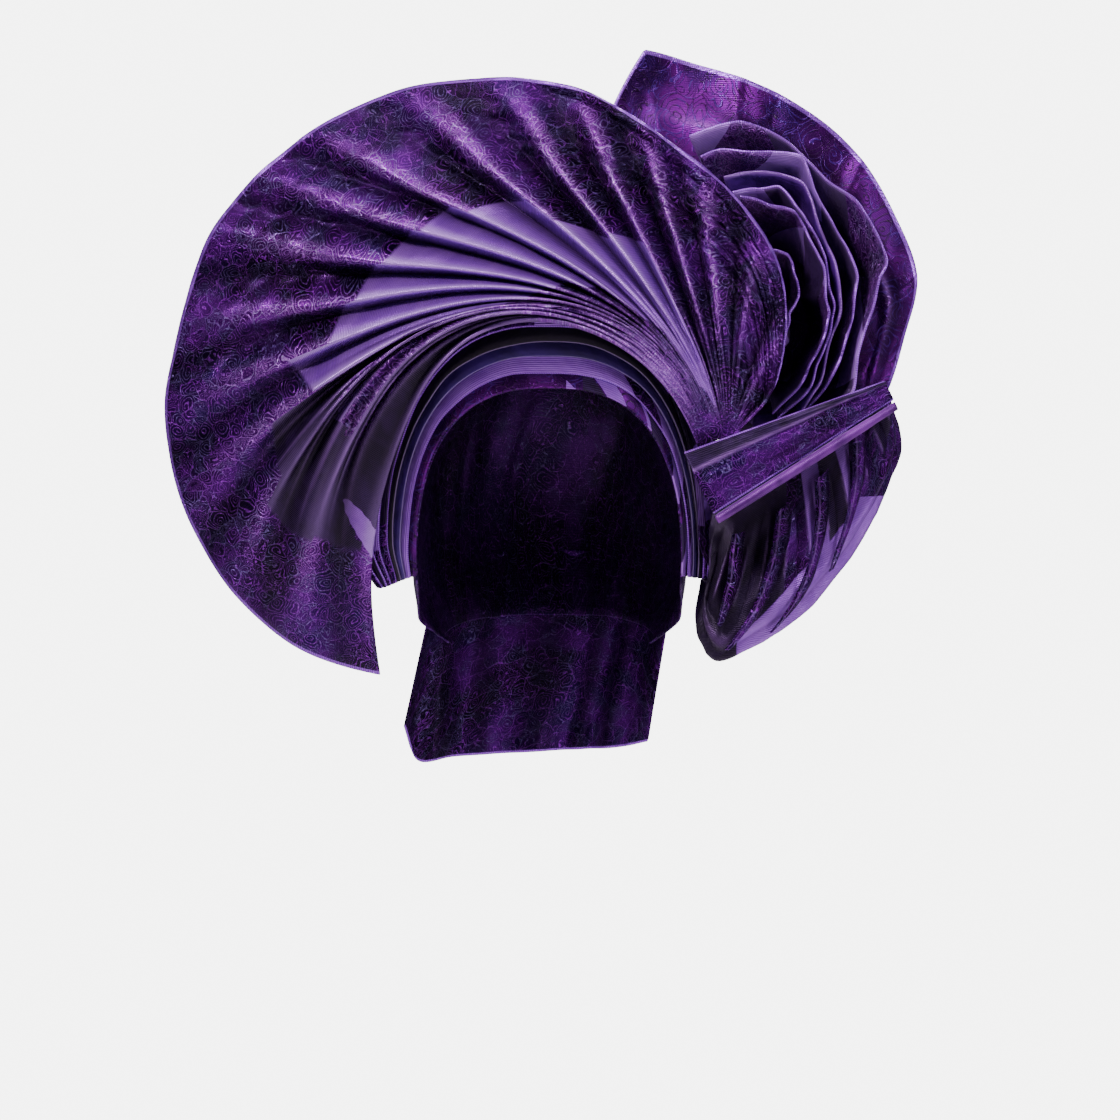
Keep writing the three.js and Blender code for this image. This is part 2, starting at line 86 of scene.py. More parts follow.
BAND_SET_BACK = 24
BAND_TAPER = 0.3
BAND_BULGE = 3
PUFF_DEPTH = 92
PUFF_THICKNESS = 60
PUFF_WIDTH = 120
PUFF_SLOPE = math.radians(36)
PUFF_MIDDLE = -12
TAIL_LENGTH = 70
TAIL_HALF_WIDTH = 73

# Steps of each surface along its two ways
HOOD_GRID = (150, 90)
BROW_GRID = (260, 14)
FAN_GRID = (448, 104)
FLAP_GRID = (200, 110)
LOOP_GRID = (220, 40)
BAND_GRID = (160, 48)
ROLL_GRID = (150, 44)
PUFF_GRID = (220, 150)
PUFF_FOLD_GRID = (140, 24)
TAIL_GRID = (200, 60)

# Thickness of the cloth
HOOD_WALL = FAN_WALL = 1.4
BROW_WALL = 1.1
FLAP_WALL = BAND_WALL = PUFF_WALL = TAIL_WALL = 1.3
LOOP_WALL = 1.5
ROLL_WALL = 0.7
PUFF_FOLD_WALL = 1.2

# Flat sizes of the cloth in metres: the mean lengths of each surface along its two ways
BROW_FLATS = [
    (0.0138, 0.344), (0.0132, 0.364), (0.0121, 0.384), (0.0114, 0.402), (0.01, 0.419), (0.0105, 0.434),
    (0.0159, 0.447), (0.015, 0.455),
]
LOOP_FLATS = [(0.072, 0.092), (0.071, 0.132), (0.066, 0.146), (0.066, 0.181), (0.062, 0.22), (0.061, 0.243)]
# A flat side can't be under 10 mm.
PUFF_FOLD_FLATS = [(0.01, 0.054), (0.01, 0.089), (0.01, 0.096), (0.01, 0.079)]


# Small functions

def clamp01(t):
    return np.clip(t, 0.0, 1.0)


def lerp(a, b, t):
    return a + (b - a) * t


def smooth(start, end, t):
    s = clamp01((t - start) / (end - start))
    return s * s * (3 - 2 * s)


def table(columns, *rows):
    values = np.array(rows, float)
    return {name: values[:, i] for i, name in enumerate(columns.split())}


def along(rows, key, column, place):
    """Value of a column at a place along the table, by a smooth curve through its rows."""
    keys, vals = rows[key], rows[column]
    last = len(keys) - 1
    place = np.asarray(place, float)
    i = np.minimum(np.searchsorted(keys[1:], place, side="left"), last - 1)
    before, after = np.maximum(0, i - 1), np.minimum(last, i + 2)
    span = keys[i + 1] - keys[i]
    t = clamp01((place - keys[i]) / span)
    slope_here = (vals[i + 1] - vals[before]) / (keys[i + 1] - keys[before]) * span
    slope_next = (vals[after] - vals[i]) / (keys[after] - keys[i]) * span
    t2, t3 = t * t, t * t * t
    return (
        (2 * t3 - 3 * t2 + 1) * vals[i]
        + (t3 - 2 * t2 + t) * slope_here
        + (3 * t2 - 2 * t3) * vals[i + 1]
        + (t3 - t2) * slope_next
    )


NOISE_SIZE = 64


def noise(x, y, seed):
    """Smooth noise from -1 to 1 with features one unit apart."""
    lattice = np.random.default_rng(seed).uniform(-1, 1, (NOISE_SIZE, NOISE_SIZE))
    x, y = np.broadcast_arrays(np.asarray(x, float), np.asarray(y, float))
    i, j = np.floor(x).astype(int), np.floor(y).astype(int)
    s, t = x - i, y - j
    s, t = s * s * (3 - 2 * s), t * t * (3 - 2 * t)
    i0, i1, j0, j1 = i % NOISE_SIZE, (i + 1) % NOISE_SIZE, j % NOISE_SIZE, (j + 1) % NOISE_SIZE
    low = lerp(lattice[i0, j0], lattice[i1, j0], s)
    high = lerp(lattice[i0, j1], lattice[i1, j1], s)
    return lerp(low, high, t)


def creases(x, y, seed):
    """Noise with sharp ridges, for crumpled stiff cloth."""
    ridge = 1 - 2 * np.abs(noise(x, y, seed))
    fine = 1 - 2 * np.abs(noise(x * 2.1 + 7, y * 2.1 + 3, seed + 1))
    return ridge * 0.7 + fine * 0.3


def normals(points):
    n = np.cross(np.gradient(points, axis=0), np.gradient(points, axis=1))
    return n / np.maximum(np.linalg.norm(n, axis=2, keepdims=True), 1e-9)


def steps(points):
    """Distance walked along each direction of a grid of points."""
    a = np.linalg.norm(np.diff(points, axis=0), axis=2)
    b = np.linalg.norm(np.diff(points, axis=1), axis=2)
    a = np.concatenate([np.zeros((1, a.shape[1])), np.cumsum(a, axis=0)], axis=0)
    b = np.concatenate([np.zeros((b.shape[0], 1)), np.cumsum(b, axis=1)], axis=1)
    return a, b


def grid(count_u, count_v):
    return np.meshgrid(np.linspace(0, 1, count_u + 1), np.linspace(0, 1, count_v + 1), indexing="ij")


def xyz(x, y, z):
    return np.stack(np.broadcast_arrays(x, y, z), axis=-1).astype(float)


def blob(points, x, z, slope, length, width):
    """1 at a place of the front and fading away from it, along a slope in degrees."""
    turn = math.radians(slope)
    dx, dz = points[..., 0] - x, points[..., 2] - z
    ahead, aside = dx * math.cos(turn) + dz * math.sin(turn), dz * math.cos(turn) - dx * math.sin(turn)
    return np.exp(-((ahead / length) ** 2) - ((aside / width) ** 2))


def zigzag(x):
    """1 at every whole number and 0 half way between."""
    return np.abs(2 * (x - np.floor(x)) - 1)


def within_fold(x):
    """0 at every whole number and above zero between, as the edge of a block stripe."""
    return np.minimum(x - np.floor(x), 1 - x + np.floor(x)) * 0.1


def bump(value, middle, width):
    """1 at the middle value, fading away on both sides."""
    return np.exp(-(((value - middle) / width) ** 2))


# Cloth

ROUND_EDGE = 0.4
CM = 0.1


def flat_map(a, b, shift_a=0, shift_b=0):
    """Places in the flat cloth in centimetres, from two lengths in millimetres."""
    return np.stack([a * CM + shift_a, b * CM + shift_b], axis=-1)


def cloth(name, points, wall, cloth_map, weave_map, marks, under_deep=None):
    """A closed wall of cloth round a grid of points, with rounded edges.

    cloth_map and weave_map are places in the flat cloth in centimetres. marks are named numbers of each
    point. under_deep takes the place of the mark deep on the under side, so the
    under side can be painted darker as if in shade.
    """
    count_u, count_v = points.shape[:2]
    n = normals(points)
    top = (points + n * wall / 2).reshape(-1, 3)
    low = (points - n * wall / 2).reshape(-1, 3)
    index = np.arange(count_u * count_v).reshape(count_u, count_v)
    ring = np.concatenate([index[:-1, 0], index[-1, :-1], index[:0:-1, -1], index[0, :0:-1]])
    inner = np.concatenate([index[:-1, 1], index[-2, :-1], index[:0:-1, -2], index[1, :0:-1]])
    flat = points.reshape(-1, 3)
    out = flat[ring] - flat[inner]
    out /= np.maximum(np.linalg.norm(out, axis=1, keepdims=True), 1e-9)
    edge = flat[ring] + out * wall * ROUND_EDGE
    verts = np.concatenate([top, low, edge]) * MM
    a, b = index[:-1, :-1].ravel(), index[1:, :-1].ravel()
    c, d = index[1:, 1:].ravel(), index[:-1, 1:].ravel()
    other = count_u * count_v
    mid = 2 * other + np.arange(len(ring))
    mid_next = np.roll(mid, -1)
    ring_next = np.roll(ring, -1)
    faces = np.concatenate([
        np.stack([a, b, c, d], 1),
        np.stack([a, d, c, b], 1) + other,
        np.stack([ring, mid, mid_next, ring_next], 1),
        np.stack([mid, ring + other, ring_next + other, mid_next], 1),
    ])
    mesh = bpy.data.meshes.new(name)
    mesh.vertices.add(len(verts))
    mesh.vertices.foreach_set("co", verts.astype(np.float32).ravel())
    mesh.loops.add(faces.size)
    mesh.loops.foreach_set("vertex_index", faces.astype(np.int32).ravel())
    mesh.polygons.add(len(faces))
    mesh.polygons.foreach_set("loop_start", np.arange(0, faces.size, 4, dtype=np.int32))
    mesh.update(calc_edges=True)
    mesh.polygons.foreach_set("use_smooth", np.ones(len(faces), dtype=bool))
    source = np.concatenate([np.arange(other), np.arange(other), ring])
    for label, place in (("Cloth", cloth_map), ("Weave", weave_map)):
        layer = mesh.uv_layers.new(name=label)
        uv = place.reshape(-1, 2)[source][faces.ravel()]
        layer.data.foreach_set("uv", uv.astype(np.float32).ravel())
    for label, value in marks.items():
        layer = mesh.attributes.new(label, "FLOAT", "POINT")
        value = np.broadcast_to(value, (count_u, count_v)).ravel()[source]
        if label == "deep" and under_deep is not None:
            value[other : 2 * other] = under_deep
        layer.data.foreach_set("value", value.astype(np.float32))
    mesh.update()
    piece = bpy.data.objects.new(name, mesh)
    bpy.context.scene.collection.objects.link(piece)
    return piece


def dress(piece, material, nodes):
    piece.data.materials.append(material)
    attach(piece, BODY)
    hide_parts(*nodes)


# Materials

class Nodes:
    """Short calls for a material's nodes."""

    def __init__(self, name):
        self.material = bpy.data.materials.new(name)
        self.material.use_nodes = True
        self.tree = self.material.node_tree
        self.tree.nodes.clear()

    def add(self, kind, inputs=(), **settings):
        node = self.tree.nodes.new(kind)
        for key, value in settings.items():
            setattr(node, key, value)
        for key, value in dict(inputs).items():
            self.put(node.inputs[key], value)
        return node

    def put(self, socket, value):
        if isinstance(value, bpy.types.NodeSocket):
            self.tree.links.new(value, socket)
        elif isinstance(value, bpy.types.Node):
            self.tree.links.new(value.outputs[0], socket)
        else:
            socket.default_value = value

    def math(self, operation, a, b=0.0, c=0.0):
        return self.add("ShaderNodeMath", {0: a, 1: b, 2: c}, operation=operation).outputs[0]

    def times(self, a, b):
        return self.math("MULTIPLY", a, b)

    def times_plus(self, a, b, c):
        return self.math("MULTIPLY_ADD", a, b, c)

    def vector(self, operation, inputs):
        return self.add("ShaderNodeVectorMath", inputs, operation=operation)

    def ramp(self, value, low, high, start=0.0, end=1.0):
        """value from low to high becomes start to end, smoothly."""
        inputs = {"Value": value, "From Min": low, "From Max": high, "To Min": start, "To Max": end}
        return self.add("ShaderNodeMapRange", inputs, interpolation_type="SMOOTHSTEP").outputs[0]

    def mix(self, factor, a, b):
        return self.add("ShaderNodeMix", {0: factor, 6: a, 7: b}, data_type="RGBA").outputs[2]

    def blend(self, factor, a, b):
        return self.add("ShaderNodeMix", {0: factor, 2: a, 3: b}, data_type="FLOAT").outputs[0]

    def mark(self, name):
        return self.add("ShaderNodeAttribute", attribute_name=name).outputs["Fac"]

    def uv(self, name):
        return self.add("ShaderNodeUVMap", uv_map=name).outputs[0]

    def noise(self, place, scale, detail=2.0, rough=0.5, output=0):
        inputs = {"Vector": place, "Scale": scale, "Detail": detail, "Roughness": rough}
        return self.add("ShaderNodeTexNoise", inputs, noise_dimensions="2D").outputs[output]

    def stripes(self, value, pitch):
        """0 to 1 and back once in each pitch."""
        turn = self.times(value, 2 * math.pi / pitch)
        return self.times_plus(self.math("SINE", turn), 0.5, 0.5)


def colour(code):
    """Linear colour of a six-digit screen colour."""
    parts = [int(code[i : i + 2], 16) / 255 for i in (0, 2, 4)]
    return tuple(p / 12.92 if p <= 0.04045 else ((p + 0.055) / 1.055) ** 2.4 for p in parts) + (1.0,)


# The first colour is a highlight painted on fold edges that catch light; the next two are the colour of
# painted shade and how much it covers.
PAINTED_EDGE_HIGHLIGHT = colour("c890f0")
DEEP_SHADE = colour("06010e")
PAINTED_SHADE_COVER = 0.85
SHEEN_TINT = colour("b060ff")
SHEEN_ROUGHNESS = 0.35
# Highlights painted on crests: for the threads, for the sparkle dots, and for the lavender and plum blocks
# below.
PAINTED_THREAD_HIGHLIGHT = colour("e4c8ff")
SPARKLE = colour("e880ff")
LAVENDER_LOW, LAVENDER_HIGH = colour("8844c0"), colour("c68cf0")
LAVENDER_RIB, LAVENDER_PAINTED_HIGHLIGHT = colour("4e2290"), colour("e4ccff")
PLUM_LOW, PLUM_HIGH = colour("0b0418"), colour("2a1440")
PLUM_RIB, PLUM_PAINTED_HIGHLIGHT = colour("523a6c"), colour("8c70aa")
SELVAGE_LOW, SELVAGE_HIGH = colour("8a44c4"), colour("ae78e4")
SATIN_SELVAGE = colour("b8a0d8")

# Distance in centimetres from one thread of the weave to the next, drawn coarser than it is
PICK_PITCH = 0.11
WARP_PITCH = 0.062
SELVAGE_PITCH = 0.13
SATIN_PICK_PITCH = 0.1
SATIN_WARP_PITCH = 0.055
# A block stripe begins where its mark passes zero, over this much on each side.
BLOCK_EDGE = 0.004


def close_look(n, inputs, sheen, **numbers):
    """Ends a look with its shader. What is the same all over is set on the shader's own sockets."""
    shader = n.add("ShaderNodeBsdfPrincipled", inputs)
    for name, value in numbers.items():
        shader.inputs[name.replace("_", " ")].default_value = value
    shader.inputs["Sheen Weight"].default_value = sheen
    shader.inputs["Sheen Roughness"].default_value = SHEEN_ROUGHNESS
    shader.inputs["Sheen Tint"].default_value = SHEEN_TINT
    output = n.add("ShaderNodeOutputMaterial")
    n.tree.links.new(shader.outputs[0], output.inputs[0])
    return n.material


def scrolls(n, place, scale):
    """Curled and flowing threads of a brocade.

    Returns the cover of the threads, a number for each cell and the slow waves that the threads follow.
    """
    bend = n.noise(place, 0.42 * scale, 1.0, output="Color")
    offset = n.vector("SUBTRACT", {0: bend, 1: (0.5, 0.5, 0.5)})
    pushed = n.vector("SCALE", {0: offset, "Scale": 1.5 / scale})
    moved = n.vector("ADD", {0: place, 1: pushed}).outputs[0]
    cell_inputs = {"Vector": moved, "Scale": 0.6 * scale, "Randomness": 1.0}
    cells = n.add("ShaderNodeTexVoronoi", cell_inputs, voronoi_dimensions="2D", feature="F1")
    edges = n.add("ShaderNodeTexVoronoi", cell_inputs, voronoi_dimensions="2D", feature="DISTANCE_TO_EDGE")
    away = n.vector("SUBTRACT", {0: moved, 1: cells.outputs["Position"]})
    parts = n.add("ShaderNodeSeparateXYZ", {0: away})
    turn = n.math("ARCTAN2", parts.outputs[1], parts.outputs[0])
    reach = n.vector("LENGTH", {0: away}).outputs["Value"]
    random = n.add("ShaderNodeSeparateColor", {0: cells.outputs["Color"]})
    arms = n.math("ROUND", n.times_plus(random.outputs[2], 2.0, -1.0))
    arm_turn = n.math("DIVIDE", arms, 2 * math.pi)
    swirl = n.times_plus(turn, arm_turn, n.times(reach, 3.2 * scale))
    spiral = n.math("PINGPONG", swirl, 0.5)
    flow = n.noise(moved, 0.62 * scale, 1.5, 0.45)
    flowing = n.math("PINGPONG", n.times(flow, 14.0), 0.5)
    curl_line = n.ramp(spiral, 0.05, 0.15, 1.0, 0.0)
    flow_line = n.ramp(flowing, 0.05, 0.16, 1.0, 0.0)
    border = n.ramp(edges.outputs["Distance"], 0.01, 0.035, 1.0, 0.0)
    curled = n.math("GREATER_THAN", random.outputs[0], 0.6)
    threads = n.math("MAXIMUM", n.blend(curled, flow_line, curl_line), n.times(border, 0.8))
    return threads, random.outputs[1], flow


def brocade(name, colours, scale, least_cover):
    """Brocade with scroll threads, plain block stripes where the marks say, painted highlights and painted
    shade.

    The colours are those of the ground, its second tone, its accent, the thread and a second thread colour,
    which also tints the painted highlight on crests.
    Marks: block_light and block_dark are above zero inside the lavender and dark stripes, fold is 1 on a
    crest that catches light and paints a highlight there, crest paints a highlight of more and paler
    threads, sparkle dots and paler plain blocks, deep is 1 in a valley and paints shade there, rim is the
    distance in mm from the selvage.
    """
    ground, second, accent, thread, second_thread_and_highlight = map(colour, colours)
    n = Nodes(name)
    cloth_place = n.uv("Cloth")
    weave_place = n.uv("Weave")
    threads, patch, flow = scrolls(n, cloth_place, scale)
    weave = n.add("ShaderNodeSeparateXYZ", {0: weave_place})
    pick = n.stripes(weave.outputs[1], PICK_PITCH)
    warp = n.stripes(weave.outputs[0], WARP_PITCH)
    glint = n.ramp(n.noise(cloth_place, 9.0, 3.0, 0.7), 0.42, 0.66)
    cloud = n.noise(cloth_place, 0.16, 2.0, 0.5)
    streak = n.noise(cloth_place, 0.9, 2.0, 0.6)
    fabric = n.mix(n.ramp(cloud, 0.36, 0.64), ground, second)
    blush = n.noise(cloth_place, 0.3, 2.0, 0.5)
    fabric = n.mix(n.times(n.ramp(blush, 0.45, 0.7), 0.7), fabric, accent)
    # Painted highlight on crests: the threads cover more and turn paler, the ground takes the second thread
    # colour and sparkle dots grow.
    crest = n.mark("crest")
    strand = n.mix(n.ramp(n.times_plus(patch, 0.3, streak), 0.5, 0.72), thread, second_thread_and_highlight)
    thread_cover_and_highlight = n.times_plus(crest, 0.35, n.times_plus(glint, 0.6, least_cover))
    cover = n.math("MINIMUM", n.times(threads, thread_cover_and_highlight), 1.0)
    fabric = n.mix(n.times(crest, 0.22), fabric, second_thread_and_highlight)
    strand = n.mix(n.times(crest, 0.6), strand, PAINTED_THREAD_HIGHLIGHT)
    fabric = n.mix(cover, fabric, strand)
    dots = n.ramp(n.noise(weave_place, 13.0, 1.0), 0.6, 0.68)
    sparkle = n.times(dots, n.times_plus(crest, 0.55, 0.07))
    fabric = n.mix(sparkle, fabric, SPARKLE)

    rib = n.times(pick, n.times_plus(warp, 0.3, 0.7))
    satin_cloud = n.noise(weave_place, 0.5, 3.0, 0.6)
    lavender = n.mix(satin_cloud, LAVENDER_LOW, LAVENDER_HIGH)
    lavender = n.mix(n.times(rib, 0.5), lavender, LAVENDER_RIB)
    # The plain blocks get a painted highlight on crests too.
    lavender = n.mix(n.times(crest, 0.4), lavender, LAVENDER_PAINTED_HIGHLIGHT)
    plum = n.mix(n.ramp(satin_cloud, 0.35, 0.65), PLUM_LOW, PLUM_HIGH)
    plum = n.mix(n.times(rib, 0.4), plum, PLUM_RIB)
    plum = n.mix(n.times(crest, 0.45), plum, PLUM_PAINTED_HIGHLIGHT)
    light_block = n.ramp(n.mark("block_light"), -BLOCK_EDGE, BLOCK_EDGE)
    dark_block = n.ramp(n.mark("block_dark"), -BLOCK_EDGE, BLOCK_EDGE)
    base = n.mix(light_block, fabric, lavender)
    base = n.mix(dark_block, base, plum)
    plain = n.math("MAXIMUM", light_block, dark_block)

    # Painted highlight on fold edges that catch light, then painted shade in valleys.
    painted_edge_light = n.times(n.mark("fold"), n.times_plus(streak, 0.6, 0.25))
    base = n.mix(painted_edge_light, base, PAINTED_EDGE_HIGHLIGHT)
    base = n.mix(n.times(n.mark("deep"), PAINTED_SHADE_COVER), base, DEEP_SHADE)
    rim = n.mark("rim")
    selvage = n.ramp(rim, 2.1, 2.6, 1.0, 0.0)
    tick = n.ramp(n.stripes(weave.outputs[0], SELVAGE_PITCH), 0.2, 0.8)
    edge_colour = n.mix(tick, SELVAGE_LOW, SELVAGE_HIGH)
    base = n.mix(selvage, base, edge_colour)

    thread_on = n.times(threads, n.math("SUBTRACT", 1.0, plain))
    metal = n.times_plus(thread_on, -0.4, n.times_plus(plain, -0.35, 0.85))
    rough = n.blend(thread_on, n.blend(plain, n.blend(streak, 0.3, 0.46), 0.33), 0.25)
    relief = n.times(thread_on, 0.8)
    relief = n.math("ADD", relief, n.times(rib, n.times_plus(plain, 0.6, 0.25)))
    relief = n.math("ADD", relief, n.times(flow, 0.5))
    surface = n.add("ShaderNodeBump", {"Height": relief, "Strength": 0.7, "Distance": 0.0004})
    inputs = {"Base Color": base, "Metallic": metal, "Roughness": rough, "Normal": surface}
    return close_look(n, inputs, sheen=0.03, Specular_IOR_Level=0.35)


def satin(name, colours, rough=0.36):
    """Plain ground of the cloth: satin with a fine rib, soft colour clouds, painted highlights on fold
    edges, painted shade and a pale selvage.
    """
    dark, light, rib_colour = map(colour, colours)
    n = Nodes(name)
    weave_place = n.uv("Weave")
    weave = n.add("ShaderNodeSeparateXYZ", {0: weave_place})
    pick = n.stripes(n.times_plus(weave.outputs[0], 0.55, weave.outputs[1]), SATIN_PICK_PITCH)
    warp = n.stripes(weave.outputs[0], SATIN_WARP_PITCH)
    rib = n.times(pick, n.times_plus(warp, 0.3, 0.7))
    cloud = n.noise(weave_place, 0.35, 3.0, 0.6)
    slub = n.noise(weave_place, 2.4, 2.0, 0.6)
    base = n.mix(n.ramp(cloud, 0.3, 0.7), dark, light)
    base = n.mix(n.times(rib, 0.32), base, rib_colour)
    base = n.mix(n.times(n.ramp(slub, 0.5, 0.75), 0.2), base, light)
    # Painted highlight on fold edges that catch light, then painted shade in valleys.
    base = n.mix(n.times(n.mark("fold"), 0.6), base, PAINTED_EDGE_HIGHLIGHT)
    base = n.mix(n.times(n.mark("deep"), PAINTED_SHADE_COVER), base, DEEP_SHADE)
    selvage = n.ramp(n.mark("rim"), 0.5, 0.95, 1.0, 0.0)
    base = n.mix(selvage, base, SATIN_SELVAGE)
    relief = n.math("ADD", n.times(rib, 0.8), n.times(slub, 0.5))
    surface = n.add("ShaderNodeBump", {"Height": relief, "Strength": 0.5, "Distance": 0.0003})
    roughness = n.blend(cloud, rough - 0.06, rough + 0.1)
    inputs = {"Base Color": base, "Roughness": roughness, "Normal": surface}
    return close_look(n, inputs, sheen=0.05, Metallic=0.35)


BROCADE = brocade("brocade", ("0a001c", "1e0040", "4c006c", "8e7cc8", "b428e8"), 2.0, least_cover=0.18)
MAGENTA_COLOURS = ("2a0044", "4a0060", "6c0084", "0c0014", "4c2490")
MAGENTA = brocade("magenta_brocade", MAGENTA_COLOURS, 1.1, least_cover=0.42)
INDIGO = satin("indigo", ("1a0a44", "381870", "4c2c84"))
NAVY = satin("navy", ("06020e", "10061e", "1e1230"))
VIOLET = satin("violet", ("2c0a5a", "6e30a8", "220848"), rough=0.27)
LIP = satin("lip", ("4c1468", "8a3cac", "380e50"), rough=0.3)

NO_MARKS = {"block_light": -1.0, "block_dark": -1.0, "crest": 0.0, "fold": 0.0, "deep": 0.0, "rim": 99.0}


def marks(**values):
    return {**NO_MARKS, **values}


# Hood

HOOD = table(
    "place half foot footY topY footZ topZ",
    (0.0, 0.987, 0.98, -0.22, -0.94, 1.0, 0.18),
    (0.15, 1.0, 0.98, -0.1, -0.72, 1.01, 0.05),
    (0.35, 1.02, 0.98, 0.08, 0.02, 1.04, 0.0),
    (0.55, 1.02, 0.98, 0.24, 0.52, 1.1, 0.1),
    (0.7, 1.01, 0.97, 0.38, 0.86, 1.16, 0.34),
    (0.85, 0.93, 0.88, 0.48, 1.0, 1.21, 0.72),
    (1.0, 0.8, 0.76, 0.56, 0.86, 1.26, 1.14),
)


def arch_point(arch, across):
    turn = math.pi * across
    power = 2 / arch["square"]
    cosine = np.cos(turn)
    wide = -np.sign(cosine) * np.abs(cosine) ** power
    high = np.clip(np.sin(turn), 0, 1) ** power
    half = lerp(arch["foot_half"], arch["half"], smooth(0, FOOT_BLEND, high))
    return xyz(
        wide * half,
        lerp(arch["foot_y"], arch["top_y"], high ** arch["hug"]),
        lerp(arch["foot_z"], arch["top_z"], high),
    )


def hood_arch(place):
    def value(column):
        return along(HOOD, "place", column, place)

    def fore(share):
        return share * np.where(share < 0, FOREHEAD_REACH, OCCIPUT_REACH)

    return {
        "square": FACE_SQUARENESS,
        "hug": 1,
        "half": value("half") * HEAD_HALF_WIDTH + CLOTH_WALL / 2,
        "foot_half": value("foot") * HEAD_HALF_WIDTH + CLOTH_WALL / 2,
        "foot_y": fore(value("footY")),
        "top_y": fore(value("topY")),
        "foot_z": -value("footZ") * CROWN_HEIGHT,
        "top_z": -value("topZ") * CROWN_HEIGHT + CLOTH_WALL / 2,
    }


def make_hood():
    u, v = grid(*HOOD_GRID)
    points = arch_point(hood_arch(v), u)
    # Cloth pulled round the head towards the nape makes long slanting folds at the back.
    slant = u * 9 + v * 3.2
    pull = smooth(0.2, 0.55, v) * (0.25 + 0.75 * np.sin(math.pi * u))
    folds = creases(slant, v * 1.3, 11) * 3.4 + noise(u * 5, v * 4, 12) * 1.6
    points = points + normals(points) * (folds * pull)[..., None]
    flat = np.stack([(u - 0.5) * 38, v * 26], axis=-1)
    # Painted shade darkens the hollows of these folds, and the inner side of the hood is painted dark as if
    # in shade.
    shade = smooth(0.1, 0.9, -folds / 3) * pull * 0.7
    piece = cloth("hood", points, HOOD_WALL, flat, flat, marks(deep=shade), 0.72)
    dress(piece, BROCADE, ["head_wrap"])


# Brow pleats

BROW = table(
    "edge rise left right",
    (0, 0, 0, 0), (1, 0.2, 0.13, 0.04), (2, 0.42, 0.25, 0.07), (3, 0.6, 0.37, 0.1), (4, 0.78, 0.5, 0.12),
    (5, 0.86, 0.67, 0.14), (6, 0.92, 0.8, 0.16), (7, 0.97, 0.92, 0.18), (8, 1.02, 1, 0.2),
    (9, 1.1, 1.1, 0.5), (10, 1.22, 1.22, 0.85),
)
BROW_COUNT = 8
BROW_LAST = 10


def brow_point(u, edge):
    def value(column):
        return along(BROW, "edge", column, edge)

    side = lerp(value("left"), value("right"), smooth(0.35, 0.65, u))
    share = edge / BROW_COUNT
    arch = {
        "square": lerp(FACE_SQUARENESS, BROW_OUTER_SQUARENESS, share),
        "hug": lerp(1, BROW_OUTER_HUG, share),
        "half": 0.987 * HEAD_HALF_WIDTH + side * BROW_SPREAD,
        "foot_half": 0.98 * HEAD_HALF_WIDTH + share * BROW_FOOT_SPREAD,
        "foot_y": -0.22 * FOREHEAD_REACH + share * BROW_BACK,
        "top_y": -0.94 * FOREHEAD_REACH - BROW_LIFT + share * BROW_BACK,
        "foot_z": -CROWN_HEIGHT,
        "top_z": -CROWN_HEIGHT + BROW_HEIGHT + value("rise") * BROW_RISE,
    }
    return arch_point(arch, lerp(BROW_FOOT_SHARE, 1 - BROW_FOOT_SHARE, u))


def make_brow():
    looks = [MAGENTA, BROCADE, INDIGO, NAVY] + 4 * [BROCADE]
    slots = ["magenta", "lavender", "indigo", "indigo"] + 4 * ["brocade"]
    for number, (look, slot, flat) in enumerate(zip(looks, slots, BROW_FLATS), 1):
        u, v = grid(*BROW_GRID)
        # The pleats wander where they crowd together at the temples.
        crowd = 0.3 + 0.7 * (1 - np.sin(math.pi * u) ** 0.8)
        wander = noise(u * 16, number * 0.8, 21) * 0.34 * crowd
        under = BROW_OVERLAP if number < BROW_COUNT else 1.0
        edge = np.clip(number - 1 + v * (1 + under) + wander * (1 - v), 0, BROW_LAST)
        here = brow_point(u, edge)
        n = -normals(brow_point(u, number - 1 + v * (1 + under)))
        n = np.where((n * (here - np.array([0, 20.0, -90.0]))).sum(-1, keepdims=True) < 0, -n, n)
        lift = number * BROW_STEP + noise(u * 11, number * 1.7, 22) * 0.4
        roll = -bump(v, 0, 0.12)
        points = here + n * (lift + roll)[..., None]
        round_way, across_way = steps(points)
        weave = flat_map(round_way, across_way, 0, number * 7)
        pattern = flat_map(points[..., 0], points[..., 2], number * 3, number * 5)
        # Block stripes of the cloth cross the bands at a slant on the right of the brow.
        slant = u * 52 + v * 3.4
        light, dark = -1.0, -1.0
        if number == 1:
            light = np.where(u > 0.52, np.sin(slant) * 0.3 - 0.06, -1.0)
            dark = np.where(u > 0.55, np.sin(slant * 0.63 + 1.5) * 0.3 - 0.2, -1.0)
        elif number == 2:
            light = np.where(u > 0.6, np.sin(u * 31 + v * 2.6 + 1) * 0.3 + 0.05, 1.0)
        elif number > 4:
            light = np.sin(u * 19 + number * 2.1) * 0.3 - lerp(0.21, 0.06, smooth(0.6, 0.7, u))
            dark = np.sin(u * 13 + number * 3.7) * 0.3 - 0.14
        # The first fold shows no selvage, and the plain folds a narrow one.
        edge_offset = 99 if number == 1 else 1.9 if look is BROCADE else 0.75
        # Painted shade where the next fold lies over this one.
        deep = smooth(0.5, 0.7, v) * 0.8
        given = marks(rim=across_way + edge_offset, block_light=light, block_dark=dark, deep=deep)
        piece = cloth(f"brow_fold_{number}", points, BROW_WALL, pattern, weave, given)
        dress(piece, look, [f"brow_pleat_{number}"])


# Fan

